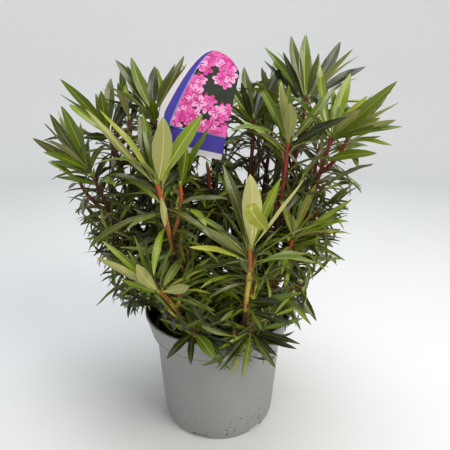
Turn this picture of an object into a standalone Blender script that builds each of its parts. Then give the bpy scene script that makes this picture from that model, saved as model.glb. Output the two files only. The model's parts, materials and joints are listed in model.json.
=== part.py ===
"""A young rhododendron in its nursery pot, with the picture label that stands in the pot.

Metres, +Z up. The origin is the middle of the pot's flat underside, and -Y is the front.
The shrub forks from a short hidden foot into boughs, and each bough carries one mass of
leafy shoots. Bearings are in degrees about +Z, from +X towards +Y.
"""

import math
import random
from collections import namedtuple

import bmesh
import bpy
import numpy as np
from mathutils import Matrix, Vector
from mathutils.bvhtree import BVHTree

GAP = 0.0003
WELD = 0.00001
UP = Vector((0.0, 0.0, 1.0))

# Pot
POT_HEIGHT = 0.178
POT_RIM_RADIUS = 0.1080
POT_COLLAR = 0.0345
POT_COLLAR_RADIUS = 0.1005
POT_NECK_RADIUS = 0.0930
POT_NECK_DROP = 0.002
POT_FOOT_RADIUS = 0.0842
POT_BELLY = 1.5
POT_CORNER = 0.0035
POT_WALL = 0.0022
POT_WALL_RINGS = 2
POT_FLOOR = 0.0095
POT_LIP = 0.0015
POT_LIP_HEIGHT = 0.0036
POT_STEPS = 32
NOTCH_COUNT = 6
NOTCH_FIRST = -108.0
NOTCH_SIZE = (0.044, 0.024, 0.0164)

# Soil
SOIL_BELOW_RIM = 0.041
SOIL_MOUND = 0.004
SOIL_FLAT_RADIUS = 0.022
SOIL_RINGS = 3

# Label
CARD_WIDTH = 0.086
CARD_HEIGHT = 0.125
CARD_THICKNESS = 0.0010
CARD_PEAK = 0.0085
CARD_LEFT_SHOULDER = (0.075, 1.9)
CARD_RIGHT_SHOULDER = (0.018, 2.6)
CARD_SHOULDER_POINTS = 9
CARD_CENTRE = Vector((-0.024, -0.040, 0.475))
CARD_LEAN = 12.0
STICK_RADIUS = 0.0016
STICK_FOOT = Vector((0.002, -0.040, 0.105))
STICK_FROM_EDGE = 0.004
STICK_BEHIND_CARD = 0.020
STICK_BELOW_CARD = 0.012

# Foot of the shrub
FOOT_RADII = (0.0150, 0.0112, 0.0098, 0.0092, 0.0088)
FOOT_HEIGHT = 0.051
FOOT_LEAN = Vector((0.0010, 0.0006, 0.0))

FOOT_ROUNDNESS = 3

# Boughs. A bough leaves its limb along a blend of its own level bearing, the limb's heading and
# straight up, and its curve is pulled from both ends by shares of its reach.
BOUGH_ROUNDNESS = 1
BOUGH_LEAVES_ALONG = (1.1, 0.5, 0.35)
BOUGH_PULLS = (0.38, 0.32)
BOUGH_POINTS = 6
BOUGH_NECK = 0.006
MAIN_BOUGH_RADIUS = 0.0048
SIDE_BOUGH_RADIUS = 0.0032
BOUGH_TIP_RADIUS = 0.0024

# Shoots. A side shoot leaves its stem part sideways, then turns back along it and upwards.
SHOOT_RADIUS = 0.0026
SHOOT_TIP_RADIUS = 0.0019
SHOOT_POINTS = 4
SHOOT_PULLS = (0.35, 0.30)
SHOOT_BOW = 0.05
SIDE_SHOOT_FIRST = 0.20
SIDE_SHOOT_STEP = 0.26
SIDE_SHOOT_REACH = (0.60, 0.74)
SIDE_SHOOT_LEAVES = 0.75
SIDE_SHOOT_SIZE = 0.90
SIDE_SHOOT_GIRTH = 0.90
SIDE_SHOOT_SPREAD = (0.72, 0.70)
SIDE_SHOOT_OUT = 0.55
SIDE_SHOOT_BACK = 0.50
SIDE_SHOOT_RISE = 0.30
SIDE_SHOOT_RETRY_TURN = 0.7

# Leaves. The highest and lowest sit at these shares of their shoot, and their lengths are this
# share of the full length and more by the swell, which a half wave spreads down the shoot.
LEAF_LENGTH = 0.096
LEAF_WIDTH = 0.0215
LEAF_THICKNESS = 0.018
LEAF_MIDDLE = 0.47
LEAF_FOLD = 0.10
LEAF_NECK = 0.22
LEAF_PLACES = (0.985, 0.325)
LEAF_CROWDING = 1.1
LEAF_LEAST = 0.84
LEAF_SWELL = 0.24
LEAF_SWELL_PHASE = (0.2, 0.9)
LEAF_OPENING = 0.8
LEAF_LENGTHS = (0.88, 1.08)
LEAF_WIDTHS = (0.85, 1.12)
LEAF_ANGLE_PLAY = 6.0
LEAF_TURN_PLAY = 0.12
LEAF_BEND_PLAY = (-4.0, 8.0)
LEAF_ROOT_DEPTH = 0.35
LEAF_TRIES = 9
LEAF_RETRY_TURN = 0.22
LEAF_RETRY_SHRINK = 0.04
GOLDEN_ANGLE = math.radians(137.5)
CLEARANCE = 0.0005

# The crown: no leaf leaves its outline, or comes this much nearer to another stem than to its own.
OVERREACH = 0.032
CROWN_TOP = 0.556
CROWN_HALF_WIDTH = 0.249
CROWN_HALF_DEPTH = 0.215
CROWN_FLOOR = 0.146
CROWN_FOOT_SHARE = 0.66
CROWN_WIDEST_AT = 0.400
CROWN_FLARE = 1.6
SEED = 41

# A mass of foliage: the bearing, reach and height of its top whorl, the length and lean of its own
# stem, its number of side shoots, the leaves on its stem, their size and how they are held. Then the
# limb that carries its bough, and how far along that limb the bough leaves it.
Mass = namedtuple("Mass", "bearing reach height stem lean sides leaves size habit carrier share")
MASSES = {
    "front_left": Mass(234, 0.118, 0.386, 0.098, 14, 1, 13, 0.98, "rising", "foot", 0.84),
    "front_right": Mass(286, 0.138, 0.320, 0.085, 8, 1, 13, 0.92, "rising", "foot", 0.72),
    "front_left_low": Mass(243, 0.148, 0.266, 0.062, 40, 1, 12, 0.78, "spreading", "front_left", 0.30),
    "front_right_low": Mass(290, 0.124, 0.205, 0.026, 45, 0, 15, 0.70, "hanging", "front_right", 0.22),
    "front_low": Mass(256, 0.122, 0.203, 0.026, 45, 0, 15, 0.70, "hanging", "foot", 0.52),
    "upper_right": Mass(10, 0.121, 0.478, 0.100, 8, 2, 12, 1.0, "rising", "right", 0.52),
    "right": Mass(348, 0.148, 0.432, 0.090, 14, 2, 12, 1.0, "rising", "foot", 0.62),
    "right_inner": Mass(331, 0.100, 0.428, 0.095, 5, 1, 13, 0.95, "rising", "right", 0.34),
    "right_low": Mass(327, 0.116, 0.310, 0.080, 16, 2, 11, 0.84, "spreading", "right", 0.22),
    "right_skirt": Mass(352, 0.112, 0.255, 0.050, 40, 1, 13, 0.80, "arching", "right_low", 0.30),
    "upper_centre": Mass(26, 0.055, 0.450, 0.105, 4, 1, 13, 0.95, "rising", "upper_left", 0.30),
    "upper_left": Mass(167, 0.091, 0.460, 0.105, 8, 2, 12, 1.0, "rising", "foot", 1.0),
    "left": Mass(176, 0.148, 0.434, 0.095, 12, 2, 12, 1.0, "rising", "foot", 0.58),
    "far_left": Mass(187, 0.172, 0.390, 0.080, 20, 1, 13, 0.95, "rising", "left", 0.52),
    "left_low": Mass(169, 0.138, 0.318, 0.070, 30, 1, 13, 0.88, "spreading", "left", 0.30),
    "left_skirt": Mass(200, 0.124, 0.250, 0.050, 42, 1, 13, 0.80, "arching", "left", 0.16),
    "centre": Mass(120, 0.030, 0.385, 0.080, 4, 1, 12, 0.90, "spreading", "upper_left", 0.46),
    "back_left": Mass(130, 0.126, 0.440, 0.095, 10, 2, 11, 1.0, "rising", "back", 0.46),
    "back": Mass(95, 0.112, 0.464, 0.100, 8, 2, 11, 1.0, "rising", "foot", 0.76),
    "back_right": Mass(52, 0.136, 0.440, 0.095, 10, 2, 11, 1.0, "rising", "back", 0.36),
    "back_low_left": Mass(146, 0.142, 0.300, 0.070, 30, 1, 12, 0.88, "spreading", "back_left", 0.22),
    "back_low": Mass(92, 0.142, 0.296, 0.070, 28, 1, 12, 0.88, "arching", "back", 0.24),
    "back_low_right": Mass(36, 0.142, 0.300, 0.070, 30, 1, 12, 0.88, "spreading", "back_right", 0.30),
}

# How the leaves of a shoot are held, in degrees: their angle from the shoot at its tip and at its
# lowest leaf, and how far a leaf bends down at its middle there.
HABITS = {
    "rising": ((20, 76), (-2, 20)),
    "spreading": ((32, 92), (5, 30)),
    "arching": ((36, 98), (15, 45)),
    "hanging": ((50, 112), (20, 50)),
}
SHARP_EDGE = math.radians(35)


def material(name, colour, roughness, metallic=0.0):
    """A Principled material, its colour in linear RGB."""
    made = bpy.data.materials.new(name)
    made.use_nodes = True
    made.diffuse_color = (*colour, 1.0)
    shader = made.node_tree.nodes["Principled BSDF"]
    shader.inputs["Base Color"].default_value = (*colour, 1.0)
    shader.inputs["Roughness"].default_value = roughness
    shader.inputs["Metallic"].default_value = metallic
    return made


def add_object(name, mesh, collection, finish=None):
    """A new object on a mesh, in a collection and with a material."""
    made = bpy.data.objects.new(name, mesh)
    collection.objects.link(made)
    if finish is not None:
        mesh.materials.clear()
        mesh.materials.append(finish)
    return made


def shape_of(thing):
    """A new mesh of an object's evaluated shape."""
    bpy.context.view_layer.update()
    return bpy.data.meshes.new_from_object(thing.evaluated_get(bpy.context.evaluated_depsgraph_get()))


def shade(mesh):
    """Shades a mesh smooth, except at its sharp edges."""
    mesh.shade_smooth()
    mesh.set_sharp_from_angle(angle=SHARP_EDGE)


def mesh_of_curve(thing):
    """A curve object's evaluated shape as a welded mesh in world space; the object is removed."""
    mesh = shape_of(thing)
    mesh.transform(thing.matrix_world)
    curve = thing.data
    bpy.data.objects.remove(thing)
    bpy.data.curves.remove(curve)
    body = bmesh.new()
    body.from_mesh(mesh)
    bmesh.ops.remove_doubles(body, verts=body.verts, dist=WELD)
    body.to_mesh(mesh)
    body.free()
    shade(mesh)
    return mesh


def settle(thing, mesh):
    """Puts a finished mesh on an object in place of its modifiers, and keeps the object's material."""
    finish = thing.data.materials[0]
    thing.modifiers.clear()
    thing.data = mesh
    mesh.materials.clear()
    mesh.materials.append(finish)
    shade(mesh)


def turned(name, profile, finish, collection):
    """A solid turned about Z from a profile of (radius, height) points, by a Screw."""
    mesh = bpy.data.meshes.new(name)
    edges = [(i, i + 1) for i in range(len(profile) - 1)]
    mesh.from_pydata([(r, 0.0, z) for r, z in profile], edges, [])
    made = add_object(name, mesh, collection, finish)
    screw = made.modifiers.new("turn", "SCREW")
    screw.steps = POT_STEPS
    screw.render_steps = POT_STEPS
    screw.use_merge_vertices = True
    screw.merge_threshold = WELD
    return made


def cut(thing, cutter):
    """A Boolean modifier that cuts an object with another."""
    modifier = thing.modifiers.new(cutter.name, "BOOLEAN")
    modifier.operation = "DIFFERENCE"
    modifier.solver = "EXACT"
    modifier.object = cutter


def hide(cutter):
    """Marks a cutter so that it is no part of the model."""
    cutter.hide_render = True
    cutter.display_type = "WIRE"


def wall_radius(height):
    """The outer radius of the pot's wall, which tapers more towards its foot."""
    below = max(0.0, 1.0 - height / (POT_HEIGHT - POT_COLLAR - POT_NECK_DROP))
    return POT_NECK_RADIUS - (POT_NECK_RADIUS - POT_FOOT_RADIUS) * below**POT_BELLY


def wall_rings(lowest, highest):
    """Heights at even steps up the pot's wall."""
    return [lowest + (highest - lowest) * ring / (POT_WALL_RINGS + 1) for ring in range(POT_WALL_RINGS + 2)]


def make_pot(finish, collection, cutters):
    """The pot: a tapering wall, a wider collar that flares to the rim, a thick floor and drain notches."""
    collar_foot = POT_HEIGHT - POT_COLLAR
    neck = collar_foot - POT_NECK_DROP
    inner_floor = wall_radius(POT_FLOOR) - POT_WALL
    profile = [(0.0, POT_FLOOR), (inner_floor - POT_CORNER, POT_FLOOR)]
    profile += [(wall_radius(height) - POT_WALL, height) for height in wall_rings(POT_FLOOR + POT_CORNER, neck)]
    profile += [
        (POT_COLLAR_RADIUS - POT_WALL, collar_foot + POT_WALL),
        (POT_RIM_RADIUS - POT_WALL, POT_HEIGHT),
        (POT_RIM_RADIUS + POT_LIP / 2, POT_HEIGHT),
        (POT_RIM_RADIUS + POT_LIP, POT_HEIGHT - POT_LIP / 2),
        (POT_RIM_RADIUS + POT_LIP, POT_HEIGHT - POT_LIP_HEIGHT),
        (POT_RIM_RADIUS, POT_HEIGHT - POT_LIP_HEIGHT - POT_LIP),
        (POT_COLLAR_RADIUS, collar_foot),
    ]
    profile += [(wall_radius(height), height) for height in reversed(wall_rings(2 * POT_CORNER, neck))]
    profile += [(POT_FOOT_RADIUS - POT_CORNER, 0.0), (0.0, 0.0)]
    pot = turned("pot", profile, finish, collection)
    for number in range(NOTCH_COUNT):
        bearing = math.radians(NOTCH_FIRST + number * 360.0 / NOTCH_COUNT)
        bpy.ops.mesh.primitive_cube_add(size=1.0)
        notch = bpy.context.active_object
        notch.name = f"notch_{number + 1}"
        notch.data.transform(Matrix.Diagonal((*NOTCH_SIZE, 1.0)))
        notch.location = Vector((math.cos(bearing), math.sin(bearing), 0.0)) * POT_FOOT_RADIUS
        notch.rotation_euler = (0.0, 0.0, bearing)
        for owner in list(notch.users_collection):
            owner.objects.unlink(notch)
        cutters.objects.link(notch)
        hide(notch)
        cut(pot, notch)
    settle(pot, shape_of(pot))


def soil_top(radius):
    """The height of the soil at a radius: a low mound, flat under the shrub's foot."""
    share = max(0.0, (radius - SOIL_FLAT_RADIUS) / (POT_FOOT_RADIUS - SOIL_FLAT_RADIUS))
    return POT_HEIGHT - SOIL_BELOW_RIM + SOIL_MOUND * (0.5 + 0.5 * math.cos(math.pi * min(1.0, share)))


def make_soil(finish, collection, stick_cutter):
    """The soil that fills the pot, clear of its wall, with the hole that the label's stick stands in."""
    edge = POT_HEIGHT - SOIL_BELOW_RIM
    inset = POT_WALL + 2 * GAP
    inner_floor = wall_radius(POT_FLOOR) - inset
    mound = [SOIL_FLAT_RADIUS + (POT_FOOT_RADIUS - SOIL_FLAT_RADIUS) * ring / (SOIL_RINGS - 1)
             for ring in range(SOIL_RINGS)]
    profile = [(0.0, soil_top(0.0))]
    profile += [(radius, soil_top(radius)) for radius in mound]
    profile += [(wall_radius(height) - inset, height)
                for height in reversed(wall_rings(POT_FLOOR + POT_CORNER, edge))]
    profile += [(inner_floor - POT_CORNER, POT_FLOOR + 2 * GAP), (0.0, POT_FLOOR + 2 * GAP)]
    soil = turned("soil", profile, finish, collection)
    cut(soil, stick_cutter)
    settle(soil, shape_of(soil))


def card_axes():
    """The label's own sideways and upward directions, leaning to the right in its plane."""
    lean = math.radians(CARD_LEAN)
    return Vector((math.cos(lean), 0.0, -math.sin(lean))), Vector((math.sin(lean), 0.0, math.cos(lean)))


def shoulder(side, drop, power):
    """One half of the card's arched top, from its peak down to a side edge."""
    half = CARD_WIDTH / 2 - side * CARD_PEAK
    points = []
    for step in range(CARD_SHOULDER_POINTS):
        share = math.sin(math.pi / 2 * step / (CARD_SHOULDER_POINTS - 1))
        points.append((CARD_PEAK + side * half * share, CARD_HEIGHT / 2 - drop * share**power))
    return points


def make_card(finish, collection):
    """The label: a thin card with an arched top that falls further on the left."""
    low = -CARD_HEIGHT / 2
    outline = [(-CARD_WIDTH / 2, low), (CARD_WIDTH / 2, low)]
    outline += reversed(shoulder(1, *CARD_RIGHT_SHOULDER))
    outline += shoulder(-1, *CARD_LEFT_SHOULDER)[1:]
    curve = bpy.data.curves.new("label_outline", "CURVE")
    curve.dimensions = "2D"
    curve.fill_mode = "BOTH"
    curve.extrude = CARD_THICKNESS / 2
    spline = curve.splines.new("POLY")
    spline.points.add(len(outline) - 1)
    for point, (x, y) in zip(spline.points, outline):
        point.co = (x, y, 0.0, 1.0)
    spline.use_cyclic_u = True
    flat = add_object("label_outline", curve, collection)
    across, along = card_axes()
    towards = across.cross(along)
    turn = Matrix((across, along, towards)).transposed().to_4x4()
    flat.matrix_world = Matrix.Translation(CARD_CENTRE) @ turn
    add_object("label_card", mesh_of_curve(flat), collection, finish)


def tube(name, points, radii, collection, roundness=BOUGH_ROUNDNESS):
    """A round tapering tube along a path, with closed ends, as a welded mesh."""
    curve = bpy.data.curves.new(name, "CURVE")
    curve.dimensions = "3D"
    curve.bevel_depth = 1.0
    curve.bevel_resolution = roundness
    curve.use_fill_caps = True
    spline = curve.splines.new("POLY")
    spline.points.add(len(points) - 1)
    for point, place, radius in zip(spline.points, points, radii):
        point.co = (*place, 1.0)
        point.radius = radius
    return mesh_of_curve(add_object(name, curve, collection))


def stick_path():
    """The label's stick, from its foot in the soil to the back of the card near its lower corner."""
    across, along = card_axes()
    behind = Vector((0.0, CARD_THICKNESS / 2 + GAP + STICK_RADIUS, 0.0))
    corner = CARD_CENTRE + across * (CARD_WIDTH / 2 - STICK_FROM_EDGE) - along * CARD_HEIGHT / 2 + behind
    top = corner + along * STICK_BEHIND_CARD
    bend = corner - along * STICK_BELOW_CARD
    foot = STICK_FOOT + behind
    return [foot, foot.lerp(bend, 0.5), bend, top]


def bezier(start, start_pull, end_pull, end, count):
    """Points along a cubic curve."""
    points = []
    for step in range(count):
        t = step / (count - 1)
        s = 1.0 - t
        points.append(start * s**3 + start_pull * 3 * s * s * t + end_pull * 3 * s * t * t + end * t**3)
    return points


def outward(bearing):
    """The level direction at a bearing."""
    return Vector((math.cos(math.radians(bearing)), math.sin(math.radians(bearing)), 0.0))


def along_path(points, share):
    """The place and direction at a share of a path's points."""
    place = share * (len(points) - 1)
    first = min(int(place), len(points) - 2)
    step = points[first + 1] - points[first]
    return points[first] + step * (place - first), step.normalized()


def stem_of(mass):
    """The foot, the top whorl and the direction of a mass's own stem."""
    plan = MASSES[mass]
    lean = math.radians(plan.lean)
    direction = outward(plan.bearing) * math.sin(lean) + UP * math.cos(lean)
    whorl = outward(plan.bearing) * plan.reach + UP * plan.height
    return whorl - direction * plan.stem, whorl, direction


def limb_paths():
    """Each limb's points and radii, from the shrub's foot to the tip of every bough."""
    ground = UP * (soil_top(0.0) + GAP)
    last = len(FOOT_RADII) - 1
    foot = [ground + UP * FOOT_HEIGHT * i / last + FOOT_LEAN * max(0.0, i - 1) for i in range(last + 1)]
    limbs = {"foot": (foot, list(FOOT_RADII))}
    waiting = dict(MASSES)
    while waiting:
        for mass in [name for name in waiting if waiting[name].carrier in limbs]:
            plan = waiting.pop(mass)
            start, heading = along_path(limbs[plan.carrier][0], plan.share)
            tip, _, direction = stem_of(mass)
            reach = (tip - start).length
            first = []
            if plan.share == 1.0:
                first = [start + heading * GAP]
                start = start + heading * BOUGH_NECK
                pull = heading
            else:
                level = Vector((tip.x - start.x, tip.y - start.y, 0.0)).normalized()
                sideways, onward, upward = BOUGH_LEAVES_ALONG
                pull = (level * sideways + heading * onward + UP * upward).normalized()
            tip = tip - direction * GAP
            neck = tip - direction * BOUGH_NECK
            points = bezier(start, start + pull * reach * BOUGH_PULLS[0],
                            neck - direction * reach * BOUGH_PULLS[1], neck, BOUGH_POINTS - 1 - len(first))
            points = first + points + [tip]
            widest = MAIN_BOUGH_RADIUS if plan.carrier == "foot" else SIDE_BOUGH_RADIUS
            radii = [widest + (BOUGH_TIP_RADIUS - widest) * i / (BOUGH_POINTS - 1) for i in range(BOUGH_POINTS)]
            limbs[mass] = (points, radii)
    return limbs


def make_limbs(finish_foot, finish_bough, collection, cutters):
    """The foot and the boughs; each bough is cut clear of the limb that carries it."""
    limbs = limb_paths()
    made = {}
    for limb, (points, radii) in limbs.items():
        name = "stem_foot" if limb == "foot" else f"bough_{limb}"
        finish = finish_foot if limb == "foot" else finish_bough
        roundness = FOOT_ROUNDNESS if limb == "foot" else BOUGH_ROUNDNESS
        mesh = tube(name, points, radii, collection, roundness)
        made[limb] = add_object(name, mesh, collection, finish)
    for limb, plan in MASSES.items():
        if plan.share == 1.0:
            continue
        points, radii = limbs[plan.carrier]
        roundness = FOOT_ROUNDNESS if plan.carrier == "foot" else BOUGH_ROUNDNESS
        longer = [*points[:-1], points[-1] + (points[-1] - points[-2]).normalized() * GAP]
        grown = tube(f"seat_{limb}", longer, [radius + GAP for radius in radii], cutters, roundness)
        seat = add_object(f"seat_{limb}", grown, cutters)
        hide(seat)
        cut(made[limb], seat)
        settle(made[limb], main_body_of(made[limb]))
        bpy.data.objects.remove(seat)


def main_body_of(thing):
    """An object's evaluated shape as one closed body, without loose scraps and sealed hollows."""
    mesh = shape_of(thing)
    body = bmesh.new()
    body.from_mesh(mesh)
    bmesh.ops.remove_doubles(body, verts=body.verts, dist=WELD / 10)
    bmesh.ops.triangulate(body, faces=body.faces)
    waiting = set(body.faces)
    islands = []
    while waiting:
        island = [waiting.pop()]
        for face in island:
            for edge in face.edges:
                others = edge.link_faces if len(edge.link_faces) == 2 else []
                for other in waiting.intersection(others):
                    waiting.remove(other)
                    island.append(other)
        islands.append(island)
    islands.sort(key=signed_volume)
    scraps = [face for island in islands[:-1] for face in island]
    bmesh.ops.delete(body, geom=scraps, context="FACES")
    body.to_mesh(mesh)
    body.free()
    return mesh


def signed_volume(faces):
    """The volume inside some triangles, negative where they face inwards."""
    return sum(f.verts[0].co.dot(f.verts[1].co.cross(f.verts[2].co)) for f in faces) / 6.0


def leaf_shape(root, aim, face_up, length, width, bend, grown=0.0):
    """A slim leaf of eight faces that bends down at its middle, with its root sunk in the shoot."""
    side = aim.cross(face_up).normalized()
    normal = side.cross(aim).normalized()
    middle = root + aim * length * LEAF_MIDDLE
    far = (aim * math.cos(bend) - normal * math.sin(bend)).normalized()
    tip = middle + far * (length * (1.0 - LEAF_MIDDLE) + grown)
    half = width / 2 + grown
    thick = length * LEAF_THICKNESS / 2 + grown
    lift = normal * width * LEAF_FOLD
    points = [root, tip, middle - side * half + lift, middle + side * half + lift]
    points += [middle + normal * thick, middle - normal * thick]
    faces = [(0, 4, 2), (0, 3, 4), (0, 5, 3), (0, 2, 5), (1, 2, 4), (1, 4, 3), (1, 3, 5), (1, 5, 2)]
    return points, faces


def shoot_shape(points, radii, foot_heading=None, grown=0.0):
    """A three-sided tapering shoot along a path: a ring of corners at each point, and two ends."""
    corners = []
    for number, (place, radius) in enumerate(zip(points, radii)):
        ahead = points[min(number + 1, len(points) - 1)]
        before = points[max(number - 1, 0)]
        heading = (ahead - before).normalized()
        if number == 0 and foot_heading is not None:
            heading = foot_heading
        side = heading.orthogonal().normalized()
        for corner in range(3):
            spin = Matrix.Rotation(corner * math.tau / 3, 3, heading)
            corners.append(place + spin @ side * (radius + grown))
    faces = [(2, 1, 0)]
    for ring in range(len(points) - 1):
        first = ring * 3
        for corner in range(3):
            after = (corner + 1) % 3
            faces.append((first + corner, first + after, first + 3 + after))
            faces.append((first + corner, first + 3 + after, first + 3 + corner))
    last = (len(points) - 1) * 3
    faces.append((last, last + 1, last + 2))
    return corners, faces


def solid_of(points, faces):
    """The box and the search tree of a closed shape, for tests of what touches what."""
    places = np.array([tuple(point) for point in points])
    return places.min(axis=0), places.max(axis=0), BVHTree.FromPolygons(points, faces)


def touches(shape, solids):
    """Whether a shape crosses any of some solids."""
    low, high, tree = solid_of(*shape)
    for other_low, other_high, other in solids:
        if np.all(low <= other_high) and np.all(high >= other_low) and tree.overlap(other):
            return True
    return False


def from_segment(place, start, end):
    """The distance of a place from a straight line between two points."""
    line = end - start
    share = max(0.0, min(1.0, (place - start).dot(line) / line.length_squared))
    return (place - start - line * share).length


def in_own_space(place, mass):
    """Whether a place lies in the crown and nearer to its own stem than to others, with some play."""
    if not CROWN_FLOOR < place.z < CROWN_TOP:
        return False
    rise = min(1.0, (place.z - CROWN_FLOOR) / (CROWN_WIDEST_AT - CROWN_FLOOR))
    widest = CROWN_FOOT_SHARE + (1.0 - CROWN_FOOT_SHARE) * rise**CROWN_FLARE
    if math.hypot(place.x / CROWN_HALF_WIDTH, place.y / CROWN_HALF_DEPTH) > widest:
        return False
    own = from_segment(place, *stem_of(mass)[:2])
    return all(own < from_segment(place, *stem_of(other)[:2]) + OVERREACH for other in MASSES)


def grow_leaves(shoot, count, size, mass, solids, blades, chance):
    """The leaves of one shoot, in a spiral that crowds into a whorl at its tip."""
    (steep, flat), (little, much) = HABITS[MASSES[mass].habit]
    highest, lowest = LEAF_PLACES
    first_phase, last_phase = LEAF_SWELL_PHASE
    leaves = []
    first_turn = chance.uniform(0.0, math.tau)
    for number in range(count):
        down = number / (count - 1)
        place, heading = along_path(shoot, highest + (lowest - highest) * down**LEAF_CROWDING)
        side = heading.orthogonal().normalized()
        phase = first_phase + (last_phase - first_phase) * down
        length = LEAF_LENGTH * size * (LEAF_LEAST + LEAF_SWELL * math.sin(math.pi * phase))
        length *= chance.uniform(*LEAF_LENGTHS)
        width = LEAF_WIDTH * size * chance.uniform(*LEAF_WIDTHS)
        for attempt in range(LEAF_TRIES):
            shift = (attempt + 1) // 2 * (1 if attempt % 2 else -1)
            turn = first_turn + number * GOLDEN_ANGLE + shift * LEAF_RETRY_TURN
            turn += chance.uniform(-LEAF_TURN_PLAY, LEAF_TURN_PLAY)
            level = Matrix.Rotation(turn, 3, heading) @ side
            opening = steep + (flat - steep) * down**LEAF_OPENING
            angle = math.radians(opening + chance.uniform(-LEAF_ANGLE_PLAY, LEAF_ANGLE_PLAY))
            aim = (heading * math.cos(angle) + level * math.sin(angle)).normalized()
            face_up = (heading - aim * heading.dot(aim)).normalized()
            bend = math.radians(little + (much - little) * down + chance.uniform(*LEAF_BEND_PLAY))
            reach = length * (1.0 - LEAF_RETRY_SHRINK * attempt)
            root = place - aim * SHOOT_TIP_RADIUS * LEAF_ROOT_DEPTH
            grown = leaf_shape(root, aim, face_up, reach, width, bend, CLEARANCE)
            if not (in_own_space(grown[0][1], mass) and in_own_space(grown[0][4], mass)):
                continue
            blade = leaf_shape(root, aim, face_up, reach, width, bend)
            blade[0][0] = root.lerp(blade[0][4], LEAF_NECK)
            if touches(blade, blades) or touches(grown, solids):
                continue
            blades.append(solid_of(*blade))
            leaves.append(leaf_shape(root, aim, face_up, reach, width, bend))
            break
    return leaves


def side_shoot(stem, share, turn, reach):
    """The path of a shoot that leaves a stem, spreads, and rises again."""
    place, heading = along_path(stem, share)
    level = Matrix.Rotation(turn, 3, heading) @ heading.orthogonal().normalized()
    onward, sideways = SIDE_SHOOT_SPREAD
    aim = (heading * onward + level * sideways).normalized()
    turned_back = (heading + UP * SIDE_SHOOT_RISE).normalized()
    end = place + (aim * SIDE_SHOOT_OUT + turned_back * SIDE_SHOOT_BACK) * reach
    first_pull, last_pull = SHOOT_PULLS
    return bezier(place, place + aim * reach * first_pull, end - heading * reach * last_pull, end, SHOOT_POINTS)


def grow_mass(mass, number, solids):
    """A mass's shapes: its stem, the side shoots that leave it, and the leaves on each of them."""
    plan = MASSES[mass]
    chance = random.Random(SEED * 1000 + number)
    foot, whorl, direction = stem_of(mass)
    first_pull, last_pull = SHOOT_PULLS
    bow = direction.orthogonal().normalized() * plan.stem * SHOOT_BOW
    stem = bezier(foot, foot + direction * plan.stem * first_pull,
                  whorl - direction * plan.stem * last_pull + bow, whorl, SHOOT_POINTS)
    taper = [SHOOT_RADIUS + (SHOOT_TIP_RADIUS - SHOOT_RADIUS) * i / (SHOOT_POINTS - 1)
             for i in range(SHOOT_POINTS)]
    thin = [radius * SIDE_SHOOT_GIRTH for radius in taper]
    shapes = [shoot_shape(stem, taper, direction)]
    shoots = [(stem, plan.leaves, plan.size)]
    first_turn = chance.uniform(0.0, math.tau)
    for side_number in range(plan.sides):
        share = SIDE_SHOOT_FIRST + SIDE_SHOOT_STEP * side_number
        reach = plan.stem * chance.uniform(*SIDE_SHOOT_REACH)
        for attempt in range(LEAF_TRIES):
            turn = first_turn + side_number * GOLDEN_ANGLE + attempt * SIDE_SHOOT_RETRY_TURN
            path = side_shoot(stem, share, turn, reach)
            grown = shoot_shape(path, thin, None, CLEARANCE)
            if in_own_space(path[-1], mass) and not touches(grown, solids):
                shapes.append(shoot_shape(path, thin))
                shoots.append((path, round(plan.leaves * SIDE_SHOOT_LEAVES), plan.size * SIDE_SHOOT_SIZE))
                break
    blades = []
    for shoot, count, size in shoots:
        shapes += grow_leaves(shoot, count, size, mass, solids, blades, chance)
    return shapes


def join_mass(name, shapes, finish, collection):
    """One closed body from a mass's shapes, by one union on a collection."""
    pieces = bpy.data.collections.new(f"{name}_pieces")
    bpy.context.scene.collection.children.link(pieces)
    objects = []
    for number, (points, faces) in enumerate(shapes):
        mesh = bpy.data.meshes.new(f"{name}_{number}")
        mesh.from_pydata([tuple(point) for point in points], [], faces)
        mesh.update()
        owner = collection if number == 0 else pieces
        objects.append(add_object(name if number == 0 else mesh.name, mesh, owner, finish))
    main = objects[0]
    modifier = main.modifiers.new("union", "BOOLEAN")
    modifier.operation = "UNION"
    modifier.solver = "MANIFOLD"
    modifier.operand_type = "COLLECTION"
    modifier.collection = pieces
    settle(main, main_body_of(main))
    for piece in objects[1:]:
        bpy.data.objects.remove(piece)
    bpy.data.collections.remove(pieces)


def triangles_of(thing):
    """An evaluated object's points and triangles, for tests of what touches what."""
    mesh = shape_of(thing)
    mesh.transform(thing.matrix_world)
    mesh.calc_loop_triangles()
    points = [vertex.co.copy() for vertex in mesh.vertices]
    faces = [tuple(triangle.vertices) for triangle in mesh.loop_triangles]
    bpy.data.meshes.remove(mesh)
    return points, faces


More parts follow.
